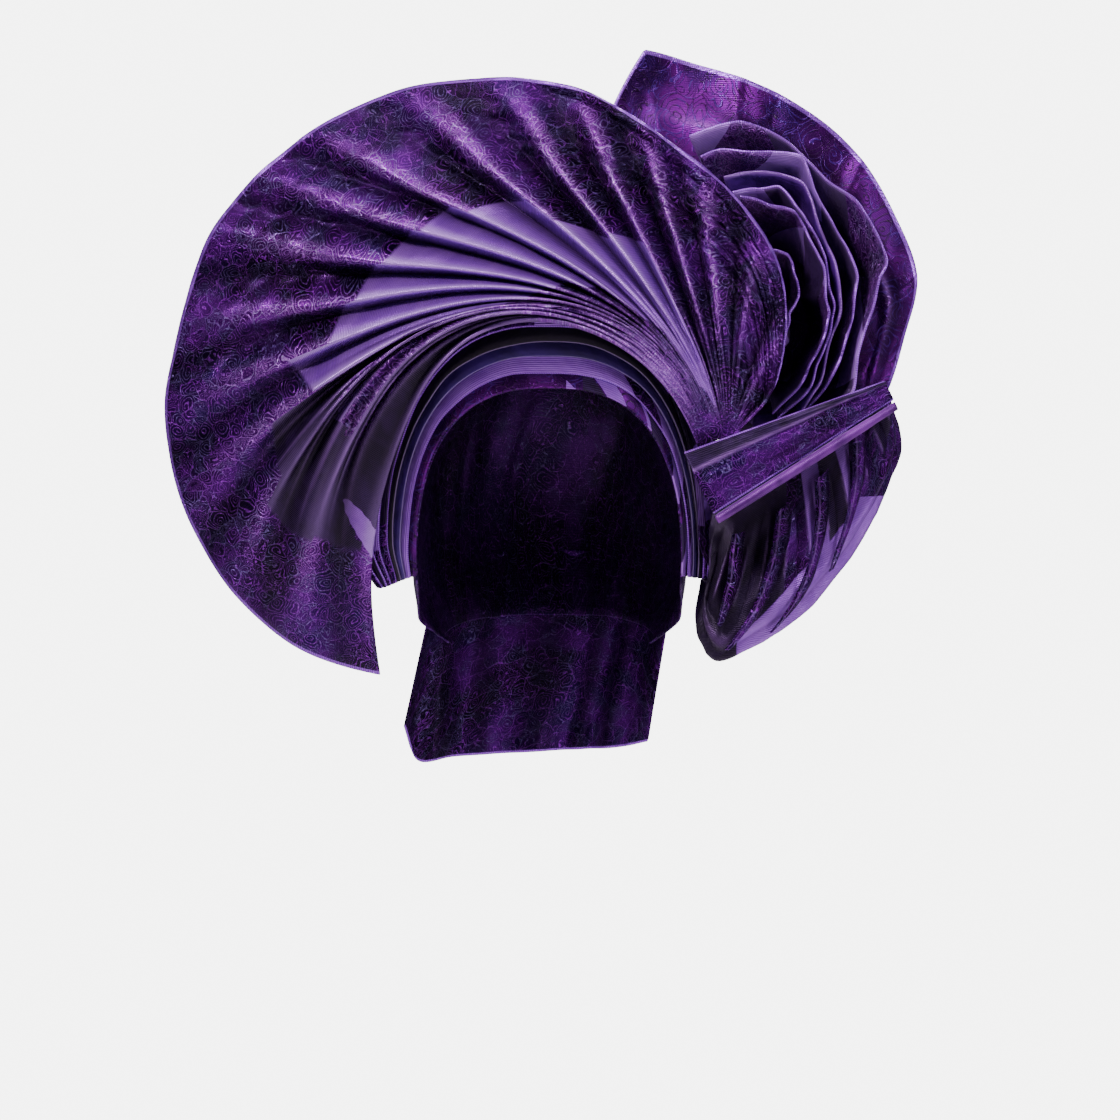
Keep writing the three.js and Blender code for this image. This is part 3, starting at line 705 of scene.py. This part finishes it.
FAN = table(
    "place reach rimY kneeX kneeY kneeZ shoulderX shoulderY shoulderZ",
    (0.0, 1.017, 0.04, 0.552, -0.76, 0.378, -0.494, -0.82, 0.436),
    (0.069, 1.052, 0.04, 0.552, -0.76, 0.407, -0.552, -0.75, 0.436),
    (0.17, 1.035, 0.03, 0.552, -0.75, 0.436, -0.291, -0.66, 0.349),
    (0.263, 1.003, 0.0, 0.552, -0.74, 0.448, -0.174, -0.6, 0.308),
    (0.32, 0.965, -0.03, 0.564, -0.73, 0.424, -0.134, -0.54, 0.331),
    (0.396, 0.969, -0.06, 0.593, -0.72, 0.4, -0.087, -0.5, 0.331),
    (0.479, 0.953, -0.1, 0.622, -0.69, 0.32, 0.029, -0.46, 0.494),
    (0.556, 0.957, -0.14, 0.657, -0.65, 0.25, 0.174, -0.42, 0.552),
    (0.633, 0.971, -0.17, 0.703, -0.6, 0.19, 0.349, -0.39, 0.541),
    (0.708, 1.0, -0.2, 0.744, -0.53, 0.13, 0.523, -0.37, 0.541),
    (0.784, 1.0, -0.25, 0.797, -0.46, 0.122, 0.727, -0.33, 0.471),
    (0.857, 1.047, -0.29, 0.855, -0.4, 0.099, 0.878, -0.33, 0.343),
    (0.907, 1.064, -0.32, 0.878, -0.39, -0.029, 0.948, -0.34, 0.169),
    (0.977, 1.0, -0.36, 0.89, -0.385, -0.134, 0.971, -0.36, -0.076),
    (1.0, 0.953, -0.37, 0.872, -0.38, -0.18, 0.924, -0.37, -0.145),
)
FAN_CRESTS = table(
    "crest place height",
    (0, 0.0, 0.3), (1, 0.055, 0.8), (2, 0.12, 0.7), (3, 0.19, 0.9), (4, 0.255, 0.7), (5, 0.32, 1.0),
    (6, 0.395, 1.0), (7, 0.45, 0.7), (8, 0.503, 0.9), (9, 0.585, 1.0), (10, 0.655, 1.0), (11, 0.71, 0.7),
    (12, 0.765, 0.9), (13, 0.82, 0.2), (14, 0.885, 0.45), (15, 0.95, 0.15), (16, 1.0, 0.2),
)
FAN_PLEATS = 16
# Reach of the lavender and the dark block stripes along each strand, from inner to outer.
FAN_LIGHT = table(
    "place inner outer",
    (0.0, 0.9, 0.2), (0.2, 0.9, 0.2), (0.215, 0.5, 0.77), (0.29, 0.45, 0.755), (0.37, 0.44, 0.735),
    (0.45, 0.42, 0.715), (0.53, 0.3, 0.68), (0.575, 0.24, 0.63), (0.6, 0.16, 0.65), (0.63, 0.12, 0.55),
    (0.69, 0.1, 0.56), (0.725, 0.12, 0.4), (0.745, 0.9, 0.1), (1.0, 0.9, 0.1),
)
FAN_DARK = table(
    "place inner outer",
    (0.0, 0.4, 0.9), (0.05, 0.42, 0.89), (0.1, 0.42, 0.9), (0.16, 0.45, 0.855), (0.195, 0.45, 0.8),
    (0.21, 0.9, 0.2), (0.4, 0.9, 0.2), (1.0, 0.9, 0.2),
)


def fan_plain(place, t):
    def value(column):
        return along(FAN, "place", column, place) * FAN_RADIUS

    rim_turn = np.radians(FAN_START - FAN_SWEEP * place)
    root_turn = np.radians(lerp(178, 70, place**0.6))
    root = GATHER + GATHER_RADIUS * xyz(np.cos(root_turn), 0, np.sin(root_turn))
    knee, shoulder = (
        FAN_CENTRE + xyz(*(value(bend + axis) for axis in "XYZ")) for bend in ("knee", "shoulder")
    )
    reach = value("reach")
    rim = FAN_CENTRE + xyz(np.cos(rim_turn) * reach, value("rimY"), np.sin(rim_turn) * reach)
    t = np.asarray(t, float)[..., None]
    s = 1 - t
    return s**3 * root + 3 * s * s * t * knee + 3 * s * t * t * shoulder + t**3 * rim


def make_fan():
    u, v = grid(*FAN_GRID)
    phase = u * FAN_PLEATS
    place = along(FAN_CRESTS, "crest", "place", phase)
    height = along(FAN_CRESTS, "crest", "height", phase) * PLEAT_DEPTH
    plain = fan_plain(place, v)
    around, outward = steps(plain)
    frac = phase - np.floor(phase)
    knife = zigzag(phase)
    soft = 0.5 + 0.5 * np.cos(2 * math.pi * frac)
    wave = lerp(knife**1.15, soft, smooth(0.6, 0.95, v))
    uneven = 1 + 0.35 * noise(phase * 0.9, v * 3, 37)
    grow = smooth(0.1, 0.5, v) * lerp(1, 0.4, smooth(0.72, 1, v)) * uneven
    points = plain.copy()
    points[..., 1] -= (wave * 1.55 - 0.5) * height * grow
    # Crests lean over their lower valley, most of all on the left.
    sideways = np.gradient(plain, axis=0)
    sideways[..., 1] = 0
    pitch = np.linalg.norm(sideways, axis=2) * FAN_GRID[0] / FAN_PLEATS
    sideways /= np.maximum(np.linalg.norm(sideways, axis=2, keepdims=True), 1e-9)
    lean = -0.34 * pitch * wave * smooth(0.15, 0.4, v) * (1 - smooth(0.7, 0.95, v)) * lerp(1, 0.5, place)
    points += sideways * lean[..., None]
    # Thin folds stacked near the gather.
    fine = phase * 3 + 0.5 * noise(phase * 1.7, v * 2.5, 38)
    fine_knife = zigzag(fine)
    left = 1 - smooth(0.16, 0.3, place)
    near = smooth(0.02, 0.12, v) * (1 - smooth(lerp(0.3, 0.74, left), lerp(0.55, 0.92, left), v))
    near *= 1 - 0.75 * smooth(0.74, 0.84, place)
    points[..., 1] -= fine_knife * lerp(3.2, 5.0, left) * near
    # Dents and creases of the stiff cloth between the pleats and the rim.
    dents = creases(around / 38, outward / 110, 31) * 3.4 + noise(around / 70, outward / 80, 33) * 3.4
    where = smooth(0.45, 0.75, v) * lerp(1, 0.55, smooth(0.9, 1, v))
    points[..., 1] -= dents * where
    points[..., 1] -= noise(around / 14, outward / 40, 35) * 0.7 * smooth(0.2, 0.5, v)

    # Painted shade in the valleys of the pleats and of the thin folds, a painted highlight on the fold
    # edges, and painted glinting threads on the crests.
    deep = (1 - wave) ** 2 * smooth(0.1, 0.3, v) * lerp(1, 0.7, smooth(0.6, 0.98, v))
    deep = np.maximum(deep, (1 - fine_knife) ** 1.3 * near * lerp(0.85, 0.95, left))
    fold = smooth(0.86, 1.0, wave) * smooth(0.05, 0.2, v) * (1 - smooth(0.6, 0.85, v)) * 0.5
    fold *= 1 - 0.8 * smooth(0.7, 0.8, place)
    fold = np.maximum(fold, smooth(lerp(0.86, 0.8, left), 1.0, fine_knife) * near * lerp(0.55, 0.8, left))
    crest = smooth(0.6, 1.0, wave) ** 1.3 * smooth(0.25, 0.5, v) * (1 - smooth(0.82, 1.0, v))
    crest *= 1 - 0.7 * smooth(0.8, 0.88, place)
    crest = np.maximum(crest, smooth(0.5, 1.0, fine_knife) ** 1.5 * near * left)
    # Each pleat shows its own slice of the block stripes, so the blocks step from pleat to pleat.
    middle = along(FAN_CRESTS, "crest", "place", np.minimum(np.floor(phase) + 0.5, FAN_PLEATS))
    slice_place = middle * 0.85 + place * 0.15
    light, dark = (
        np.minimum(
            v - along(rows, "place", "inner", slice_place), along(rows, "place", "outer", slice_place) - v
        )
        for rows in (FAN_LIGHT, FAN_DARK)
    )
    # Between their painted edge highlights the thin folds over the brow lie in painted shade, apart from
    # the lavender.
    shade = near * (1 - left) * smooth(0.0, -0.02, light) * (1 - smooth(0.8, 1.0, fine_knife))
    deep = np.maximum(deep, shade * 0.5)
    # The thin folds beside the face turn up other parts of the stripes.
    turned = (left > 0.5) & (v > 0.2) & (v < 0.8 - place * 0.5)
    within = within_fold(fine)
    dark = np.where(turned & (np.sin(np.floor(fine) * 2.3) > 0.1), -within, dark)
    light = np.where(turned & (np.sin(np.floor(fine) * 1.9 + 0.7) > 0.6), within, light)
    turned_fold = (0.4 - blob(plain, x=-102, z=-104, slope=-61, length=26, width=4.5)) * -0.2
    light = np.maximum(light, turned_fold)
    dark = np.minimum(dark, -turned_fold)
    rim = np.minimum(outward[:, -1:] - outward, 99)
    pattern = flat_map(plain[..., 0], plain[..., 2])
    weave = flat_map(around, outward)
    given = marks(block_light=light, block_dark=dark, crest=crest, fold=fold, deep=deep, rim=rim)
    piece = cloth("fan", points, FAN_WALL, pattern, weave, given)
    dress(piece, BROCADE, ["pleat_fan"])


# Back flap

FLAP = table(
    "turn reach",
    (22, 0.435), (34, 0.545), (43, 0.658), (55, 0.741), (68, 0.835), (79, 0.897), (92, 0.96), (100, 1.015),
    (107, 1.05),
)
# The flap leans back, so it reaches a little further to look as tall as it is.
FLAP_STRETCH = 1.03
FLAP_FIRST_TURN = 107.0
FLAP_LAST_TURN = 22.0
# Past this turn the reach falls by FLAP_CORNER a degree, which rounds the corner.
FLAP_CORNER_TURN = 100
FLAP_CORNER = 0.0185


def make_flap():
    u, v = grid(*FLAP_GRID)
    turn = lerp(FLAP_FIRST_TURN, FLAP_LAST_TURN, u)
    reach = along(FLAP, "turn", "reach", np.minimum(turn, FLAP_CORNER_TURN))
    reach -= FLAP_CORNER * np.maximum(turn - FLAP_CORNER_TURN, 0)
    reach = reach * FLAP_RADIUS * FLAP_STRETCH
    radius = lerp(FLAP_ROOT, reach, v)
    angle = np.radians(turn)
    x = GATHER[0] + radius * np.cos(angle)
    z = GATHER[2] + radius * np.sin(angle)
    fold = np.abs(np.sin(u * math.pi * 4)) * 7 * smooth(0.5, 1, v)
    # A turned ridge follows the inner side of the flap, with a hollow behind it.
    ridge = bump(v, 0.82, 0.045) * smooth(0.05, 0.25, u) * (1 - smooth(0.9, 1, u)) * 7
    dents = creases(u * 7, v * 1.6, 41) * 3.4 * smooth(0.2, 0.6, v) + noise(x / 30, z / 30, 42) * 2.4
    y = ROSETTE_BACK + CLOTH_WALL / 2 + LAYER_GAP + FLAP_LEAN * smooth(0.5, 1, v) + fold - ridge - dents
    y = np.maximum(y, ROSETTE_BACK + 1.0)
    points = xyz(x, y, z)
    around, outward = steps(points)
    rim = np.minimum(outward[:, -1:] - outward, around)
    pattern = flat_map(x, z)
    weave = flat_map(around, outward)
    # Painted shade towards the root and in the hollow behind the ridge, and a painted highlight on the
    # ridge.
    on_ridge = smooth(0.05, 0.25, u) * (1 - smooth(0.7, 0.9, u))
    deep = np.maximum(smooth(0.78, 0.66, v) * 0.85, bump(v, 0.875, 0.022) * on_ridge * 0.6)
    fold = bump(v, 0.825, 0.012) * on_ridge * 0.5
    piece = cloth("flap", points, FLAP_WALL, pattern, weave, marks(rim=rim, deep=deep, fold=fold))
    dress(piece, MAGENTA, ["back_flap"])


# Rosette

LOOPS = [
    [(112, 57), (123, 58), (134, 54), (137, 46), (138, 34), (133, 8), (128, -10), (121, -28)],
    [(107, 86), (127, 82), (141, 76), (153, 42), (158, 20), (151, -2), (143, -16), (125, -35)],
    [(103, 89), (129, 93), (141, 79), (149, 65), (155, 45), (161, 25), (155, 0), (147, -20), (128, -38)],
    [(98, 97), (121, 102), (144, 94), (153, 65), (164, 34), (165, 23), (158, 2), (152, -21), (134, -42),
     (113, -53)],
    [(85, 109), (95, 113), (110, 113), (142, 110), (150, 90), (161, 68), (174, 42), (171, 18), (164, -6),
     (154, -25), (141, -38), (121, -50), (98, -58)],
    [(79, 121), (108, 130), (135, 118), (157, 96), (174, 83), (190, 52), (187, 40), (181, 18), (175, -2),
     (172, -24), (160, -36), (140, -50), (112, -66)],
]


# Share of the slope that the loops keep at their given points: stiff cloth turns in short kinks.
KINK = 0.36
SPLINE_STEPS = 24
# The loops narrow by this share towards their inner ends.
FUNNEL = 0.34


def spline(points, count):
    """Evenly spaced points on a smooth curve through the given ones."""
    points = np.array(points, float)
    pad = np.concatenate([[2 * points[0] - points[1]], points, [2 * points[-1] - points[-2]]])
    out = []
    for i in range(1, len(pad) - 2):
        t = np.linspace(0, 1, SPLINE_STEPS, endpoint=False)[:, None]
        a, b, c, d = pad[i - 1], pad[i], pad[i + 1], pad[i + 2]
        out.append(
            b + KINK * t * (c - a) + t**2 * (3 * (c - b) - KINK * (2 * (c - a) + (d - b)))
            + t**3 * (2 * (b - c) + KINK * (c - a + d - b))
        )
    out = np.concatenate(out + [points[-1:]])
    walk = np.concatenate([[0], np.cumsum(np.linalg.norm(np.diff(out, axis=0), axis=1))])
    even = np.linspace(0, walk[-1], count + 1)
    return np.stack([np.interp(even, walk, out[:, k]) for k in range(out.shape[1])], axis=1)


def make_rosette():
    for number, (points_xz, flat) in enumerate(zip(LOOPS, LOOP_FLATS), 1):
        share = (number - 1) / 5
        path = spline(points_xz, LOOP_GRID[0])
        u, v = grid(*LOOP_GRID)
        x, z = path[:, 0][:, None], path[:, 1][:, None]
        funnel = 1 - FUNNEL * v**0.75
        x = ROSETTE_CORE[0] + (x - ROSETTE_CORE[0]) * funnel
        z = ROSETTE_CORE[2] + (z - ROSETTE_CORE[2]) * funnel
        front = ROSETTE_BACK - ROSETTE_DEPTH + share * ROSETTE_DOME
        front += noise(u * 7, number * 1.3, 51) * 5 + creases(u * 9, number * 2.1, 53) * 3
        y = lerp(front, ROSETTE_BACK - 1.5, v)
        points = xyz(x, y, z)
        n = normals(points)
        dents = noise(u * 9, v * 2, 52) * 2.0 + noise(u * 19, v * 3, 54) * 0.8
        dents += noise(u * 12, v + number, 55) * 0.5
        points += n * dents[..., None]
        around, inward = steps(points)
        pattern = flat_map(around, inward, number * 4)
        weave = flat_map(around, inward)
        light = np.sin(u * 8 + v * 2 + number * 2.4) - 0.62
        dark = np.sin(u * 11 - v * 1.5 + number * 1.9) - 0.5
        # Painted shade deepens into each loop, a painted highlight runs along its front edge, and the
        # painted crest highlight lies at half strength all over.
        deep = smooth(0.22, 1.0, v) * 0.9
        fold = bump(inward, 0, 1.2) * 0.6
        given = marks(rim=inward + 2.2, deep=deep, block_light=light, block_dark=dark, fold=fold, crest=0.5)
        piece = cloth(f"loop_{number}", points, LOOP_WALL, pattern, weave, given)
        look, slot = (VIOLET, "violet") if number == 4 else (BROCADE, "brocade")
        dress(piece, look, [f"rosette_fold_{number}"])


# Tie band

BAND_START = GATHER + np.array([-14.0, -7.4, 5.5 - BAND_WIDTH / 2])
BAND_RUN = np.array([math.cos(BAND_SLOPE) * BAND_REACH, BAND_SET_BACK, math.sin(BAND_SLOPE) * BAND_REACH])
BAND_END = BAND_START + BAND_RUN
BAND_ACROSS = np.array([BAND_START[2] - BAND_END[2], 0, BAND_END[0] - BAND_START[0]])
BAND_ACROSS /= np.linalg.norm(BAND_ACROSS)
ROLL_TURNS = 1.25
ROLL_FIRST_TURN = 0.6
ROLL_RADIUS = 3.2


def band_point(u, across):
    half = BAND_WIDTH / 2 * lerp(1, BAND_TAPER, u)
    p = BAND_START + (BAND_END - BAND_START) * u[..., None] + BAND_ACROSS * (across * half)[..., None]
    p[..., 1] -= BAND_BULGE * np.sin(math.pi * u) * (1 - across * across * 0.5)
    return p


def make_band():
    u, v = grid(*BAND_GRID)
    points = band_point(u, 1 - 2 * v)
    pleats = noise(v * 5.5 + u * 0.8, u * 1.5, 61) * 1.5 + creases(v * 7, u * 2.2, 62) * 0.8
    points[..., 1] -= pleats * smooth(0, 0.1, u) + 0.6
    along_way, across_way = steps(points)
    rim = np.minimum(across_way, across_way[:, -1:] - across_way)
    weave = flat_map(along_way, across_way)
    upper = across_way / across_way[:, -1:]
    dark = np.where(upper < 0.3 - 0.16 * u, 0.1, -0.1)
    # Painted highlight on the fold between the two strips, and painted shade in the valleys of the pleats.
    fold = bump(upper, 0.3 - 0.16 * u, 0.03) * 0.8
    given = marks(rim=rim + 1.8, block_dark=dark, fold=fold, deep=smooth(-0.1, -1.6, pleats) * 0.8)
    piece = cloth("band", points, BAND_WALL, weave + 3, weave, given)
    dress(piece, BROCADE, ["tie_band"])

    # The lower edge is rolled: a strip wound ROLL_TURNS times.
    u, v = grid(*ROLL_GRID)
    line = band_point(u, -np.ones_like(u)) - BAND_ACROSS * (ROLL_RADIUS + LAYER_GAP)
    turn = v * math.pi * 2 * ROLL_TURNS + ROLL_FIRST_TURN
    size = lerp(3.1, 1.6, v) * lerp(0.8, 1.0, np.sin(math.pi * np.clip(u * 1.15, 0, 1)) ** 0.4)
    line = line + BAND_ACROSS * (np.cos(turn) * size)[..., None]
    line[..., 1] -= np.sin(turn) * size
    line[..., 1] -= noise(u * 9, v, 63) * 0.3
    along_way, across_way = steps(line)
    weave = flat_map(along_way, across_way)
    piece = cloth("band_roll", line, ROLL_WALL, weave, weave, marks(rim=across_way + 0.6))
    dress(piece, LIP, ["tie_band_roll"])


# Lower puff

PUFF = table(
    "place run hang",
    (0.0, -0.22, 0.3), (0.07, -0.35, 0.46), (0.15, -0.4, 0.63), (0.23, -0.38, 0.77), (0.31, -0.22, 0.82),
    (0.38, -0.08, 0.845), (0.46, 0.117, 0.843), (0.54, 0.27, 0.79), (0.62, 0.44, 0.72), (0.7, 0.647, 0.594),
    (0.78, 0.795, 0.478), (0.86, 0.91, 0.345), (0.94, 0.97, 0.16), (1.0, 1.0, 0.03),
)
PUFF_ALONG = np.array([math.cos(PUFF_SLOPE), 0, math.sin(PUFF_SLOPE)])
PUFF_DOWN = np.array([math.sin(PUFF_SLOPE), 0, -math.cos(PUFF_SLOPE)])
PUFF_TOP = BAND_START + np.array([8.0, 0, 2 - BAND_WIDTH / 2])


def puff_point(u, v, out):
    top = PUFF_TOP + PUFF_ALONG * (u * PUFF_WIDTH)[..., None]
    run = along(PUFF, "place", "run", u) * PUFF_WIDTH
    hang = along(PUFF, "place", "hang", u) * PUFF_DEPTH + out
    low = PUFF_TOP + PUFF_ALONG * run[..., None] + PUFF_DOWN * hang[..., None]
    turn = math.pi * v
    p = lerp(top, low, (np.clip(np.sin(turn), 0, 1) ** 0.8)[..., None])
    half = PUFF_THICKNESS / 2 + out
    p[..., 1] = PUFF_MIDDLE - half * np.sign(np.cos(turn)) * np.abs(np.cos(turn)) ** 0.7
    return p


# Each fold on the pouch runs from a place and turn round it to another: place, turn, place, turn.
PUFF_PLEATS = [
    (0.19, 0.27, 0.2, 0.06), (0.24, 0.35, 0.4, 0.06), (0.36, 0.37, 0.58, 0.06), (0.53, 0.32, 0.76, 0.06),
]
PUFF_FOLD_OUT = 1.2


def make_puff():
    u, v = grid(*PUFF_GRID)
    points = puff_point(u, v, 0)
    n = normals(points)
    outward = np.where((n * (points - np.array([140, PUFF_MIDDLE, -100.0]))).sum(-1) < 0, -1.0, 1.0)
    # Long folds sweep from the right end under the band down to the left, crossed by small wrinkles.
    sweep = u * 12 + v * 1.6 + noise(u * 4, v * 3, 74) * 0.6
    ridge = (zigzag(sweep) - 0.5) * 4.2 * smooth(0.03, 0.12, v)
    ridge *= 1 - smooth(0.18, 0.3, v)
    # The lower edge turns over in one smooth satin roll with two shallow folds along it.
    near_edge = smooth(0.2, 0.3, v) * (1 - smooth(0.56, 0.66, v))
    ridge += np.sin((v + 0.03 * noise(u * 5, 0, 77)) * 46) * 1.3 * near_edge
    wrinkles = creases(u * 10 + v * 3, v * 6 - u * 2, 71) * 0.9 + noise(u * 6, v * 7, 72) * 1.2
    front = points[..., 1] < PUFF_MIDDLE
    hollow = blob(points, x=110, z=-112, slope=47, length=34, width=11) * front
    shape = ridge + wrinkles * smooth(0.02, 0.2, v) - 2.2 - 5 * hollow
    points += n * (outward * shape)[..., None]
    along_way, across_way = steps(points)
    weave = flat_map(along_way, across_way)
    x, z = points[..., 0], points[..., 2]
    edge = noise(u * 7, v * 5, 75) * 1.4
    corner = np.minimum(x - 168 + edge, z + 82 + edge) * 0.1
    within = within_fold(sweep)
    stripe = np.sin(np.floor(sweep) * 2.3 + 0.9)
    lower = v - 0.36 + 0.13 * smooth(0.15, 0.5, u) + edge * 0.01
    light = np.where(stripe > 0.25, within, -within)
    # The left end is one smooth satin hollow in the shade, painted as the dark plum block with painted
    # shade over it.
    shaded = (130 - x + edge * 2) * 0.02
    lower = np.minimum(lower, (x - 106 + edge) * 0.02)
    light = np.minimum(np.maximum(np.minimum(light, -shaded), lower), -corner)
    patch = np.minimum(np.maximum(np.where(stripe < -0.55, within, -within), shaded), -lower)
    # Past the lower edge the plain blocks end, and the back is brocade.
    ahead = (0.6 - v + edge * 0.012) * 0.3
    light, patch = np.minimum(light, ahead), np.minimum(patch, ahead)
    # Painted shade in the valleys, in the hollow, at the top under the band, over the shaded left end and
    # away from the lower sweep; painted highlight on the ridges and along the lower edge.
    valley = smooth(0.5, 2.2, -ridge)
    deep = np.maximum(valley * 0.75, hollow * 0.95)
    deep = np.maximum(deep, smooth(0.2, 0.05, v) * 0.8 * front)
    deep = np.maximum(deep, smooth(-0.3, 0.3, shaded) * smooth(0.05, -0.05, lower) * 0.72 * front)
    deep = np.maximum(deep, smooth(0.03, -0.1, lower) * 0.4)
    fold = smooth(1.5, 2.1, ridge) * 0.5 * front + bump(v, 0.33, 0.02) * 0.5
    given = marks(rim=across_way + 3, block_light=light, block_dark=patch, deep=deep, fold=fold)
    piece = cloth("puff", points, PUFF_WALL, weave, weave, given)
    dress(piece, BROCADE, ["lower_puff"])
    for number, (run, flat) in enumerate(zip(PUFF_PLEATS, PUFF_FOLD_FLATS), 1):
        start_u, start_v, end_u, end_v = run
        u, v = grid(*PUFF_FOLD_GRID)
        taper = np.sin(math.pi / 2 * (0.06 + 0.94 * u)) ** 0.7
        across = (2 * v - 1) * 0.03 * taper
        bow = 0.02 * np.sin(math.pi * u) + 0.006 * noise(u * 5, number * 1.7, 76)
        place = lerp(start_u, end_u, u) + across + bow
        around = lerp(start_v, end_v, u)
        crown = (1 - (2 * v - 1) ** 2) * 2.4 * taper
        points = puff_point(place, around, PUFF_FOLD_OUT)
        n = normals(points)
        n = np.where(n[..., 1:2] > 0, -n, n)
        points = points + n * (crown + noise(u * 6, v * 2 + number, 73) * 0.5)[..., None]
        weave = flat_map(*steps(points))
        # Painted highlight along one side of each fold and painted shade along its other side.
        given = marks(fold=smooth(0.5, 0.0, np.abs(v - 0.3) * 5) * 0.45, deep=smooth(0.45, 0.9, v) * 0.8)
        piece = cloth(f"puff_fold_{number}", points, PUFF_FOLD_WALL, weave + number, weave, given)
        dress(piece, BROCADE, [f"puff_pleat_{number}"])


# Nape tail

TAIL_HEM = table(
    "place out low",
    (0.0, -1.15, 0.7), (0.12, -1.05, 0.98), (0.25, -0.78, 0.96), (0.5, -0.15, 0.92), (0.8, 0.5, 0.88),
    (1.0, 0.78, 0.82),
)
TAIL_PLACE = 0.9
TAIL_WAVES = 3
TAIL_SWAY = 45


def make_tail():
    u, v = grid(*TAIL_GRID)
    arch = hood_arch(np.full_like(u, TAIL_PLACE))
    for key in ("half", "foot_half", "top_y"):
        arch[key] = arch[key] + (CLOTH_WALL + LAYER_GAP)
    sway = np.cos(u * TAIL_SWAY + 3 * noise(u * 5, 0, 82))
    seam = arch_point(arch, lerp(0.06, 0.94, u))
    hem = xyz(
        along(TAIL_HEM, "place", "out", u) * TAIL_HALF_WIDTH,
        seam[..., 1] + 6 + 4 * np.cos(u * math.pi * 2 * TAIL_WAVES) + 2.6 * sway,
        -CROWN_HEIGHT - NAPE_DROP - along(TAIL_HEM, "place", "low", u) * TAIL_LENGTH,
    )
    points = lerp(seam, hem, v[..., None])
    free = smooth(0.1, 0.4, v)
    points[..., 1] += creases(u * 8, v * 2, 81) * 1.6 * free + 1.6 * free
    around, down = steps(points)
    weave = flat_map(around, down)
    # Painted shade in the valleys of the gathers.
    deep = (0.5 - 0.5 * sway) * 0.75 * smooth(0, 0.3, v)
    given = marks(rim=down[:, -1:] - down + 1.4, deep=deep)
    piece = cloth("tail", points, TAIL_WALL, weave, weave, given)
    dress(piece, BROCADE, ["nape_tail"])


make_hood()
make_brow()
make_fan()
make_flap()
make_rosette()
make_band()
make_puff()
make_tail()


# Studio

# Where the lamps point, in metres
AIM = (0.0, 0.0, -0.05)


def area_light(name, place, size, power, tint):
    """A round lamp at a place in metres, pointing at the head tie."""
    data = bpy.data.lights.new(name, "AREA")
    data.shape = "DISK"
    data.size = size
    data.energy = power
    data.color = tint
    light = bpy.data.objects.new(name, data)
    light.location = place
    bpy.context.scene.collection.objects.link(light)
    toward = np.array(AIM) - np.array(place)
    yaw = math.atan2(-toward[0], toward[1])
    tilt = math.atan2(math.hypot(toward[0], toward[1]), -toward[2])
    light.rotation_euler = (tilt, 0, yaw)


# A white studio: the cloth is lit by soft lamps and a dim surround, and the wall behind it is bright.
SURROUND = 0.2
SURROUND_COLOUR = (0.86, 0.68, 1.0, 1.0)
WALL_BRIGHTNESS = 6.0
WHITE = (1.0, 1.0, 1.0, 1.0)
world = bpy.data.worlds.new("studio")
world.use_nodes = True
sky = world.node_tree
background = sky.nodes["Background"]
background.inputs[0].default_value = SURROUND_COLOUR
background.inputs[1].default_value = SURROUND
wall = sky.nodes.new("ShaderNodeBackground")
wall.inputs[0].default_value = WHITE
wall.inputs[1].default_value = WALL_BRIGHTNESS
chooser = sky.nodes.new("ShaderNodeMixShader")
seen = sky.nodes.new("ShaderNodeLightPath")
sky.links.new(seen.outputs["Is Camera Ray"], chooser.inputs[0])
sky.links.new(background.outputs[0], chooser.inputs[1])
sky.links.new(wall.outputs[0], chooser.inputs[2])
sky.links.new(chooser.outputs[0], sky.nodes["World Output"].inputs[0])
bpy.context.scene.world = world
area_light("key", (-0.9, -1.4, 1.3), size=0.35, power=44, tint=(1.0, 0.8, 1.0))
area_light("fill", (1.5, -1.2, 0.3), size=0.5, power=15, tint=(0.95, 0.8, 1.0))
area_light("top", (0.1, -0.2, 1.5), size=0.5, power=9, tint=(1.0, 0.82, 1.0))
area_light("back", (0.4, 1.6, 0.9), size=0.6, power=26, tint=(1.0, 0.85, 1.0))

FLOOR_LEVEL = -0.62
FLOOR_RADIUS = 1.0
FLOOR_SIDES = 64
FLOOR_COLOUR = (0.9, 0.9, 0.9, 1.0)
FLOOR_ROUGHNESS = 0.8
floor_turns = [2 * math.pi * i / FLOOR_SIDES for i in range(FLOOR_SIDES)]
floor_ring = [(FLOOR_RADIUS * math.cos(turn), FLOOR_RADIUS * math.sin(turn), 0) for turn in floor_turns]
floor_mesh = bpy.data.meshes.new("floor")
floor_mesh.from_pydata(floor_ring, [], [tuple(range(FLOOR_SIDES))])
floor = bpy.data.objects.new("floor", floor_mesh)
floor.location = (0, 0, FLOOR_LEVEL)
bpy.context.scene.collection.objects.link(floor)
floor_look = Nodes("floor")
floor_inputs = {"Base Color": FLOOR_COLOUR, "Roughness": FLOOR_ROUGHNESS}
floor_shader = floor_look.add("ShaderNodeBsdfPrincipled", floor_inputs)
floor_output = floor_look.add("ShaderNodeOutputMaterial")
floor_look.tree.links.new(floor_shader.outputs[0], floor_output.inputs[0])
floor_mesh.materials.append(floor_look.material)

# Camera: the frame is 627 mm wide where the fan stands.
FRAME_WIDTH = 0.6272
CAMERA_DISTANCE = 3.0
FAN_PLANE = -0.03
FRAME_MIDDLE = (0.00616, -0.1176)
SENSOR_WIDTH = 36
camera_data = bpy.data.cameras.new("camera")
camera_data.sensor_width = SENSOR_WIDTH
camera_data.lens = SENSOR_WIDTH * (CAMERA_DISTANCE + FAN_PLANE) / FRAME_WIDTH
camera = bpy.data.objects.new("camera", camera_data)
camera.location = (FRAME_MIDDLE[0], -CAMERA_DISTANCE, FRAME_MIDDLE[1])
camera.rotation_euler = (math.pi / 2, 0, 0)
bpy.context.scene.collection.objects.link(camera)
bpy.context.scene.camera = camera
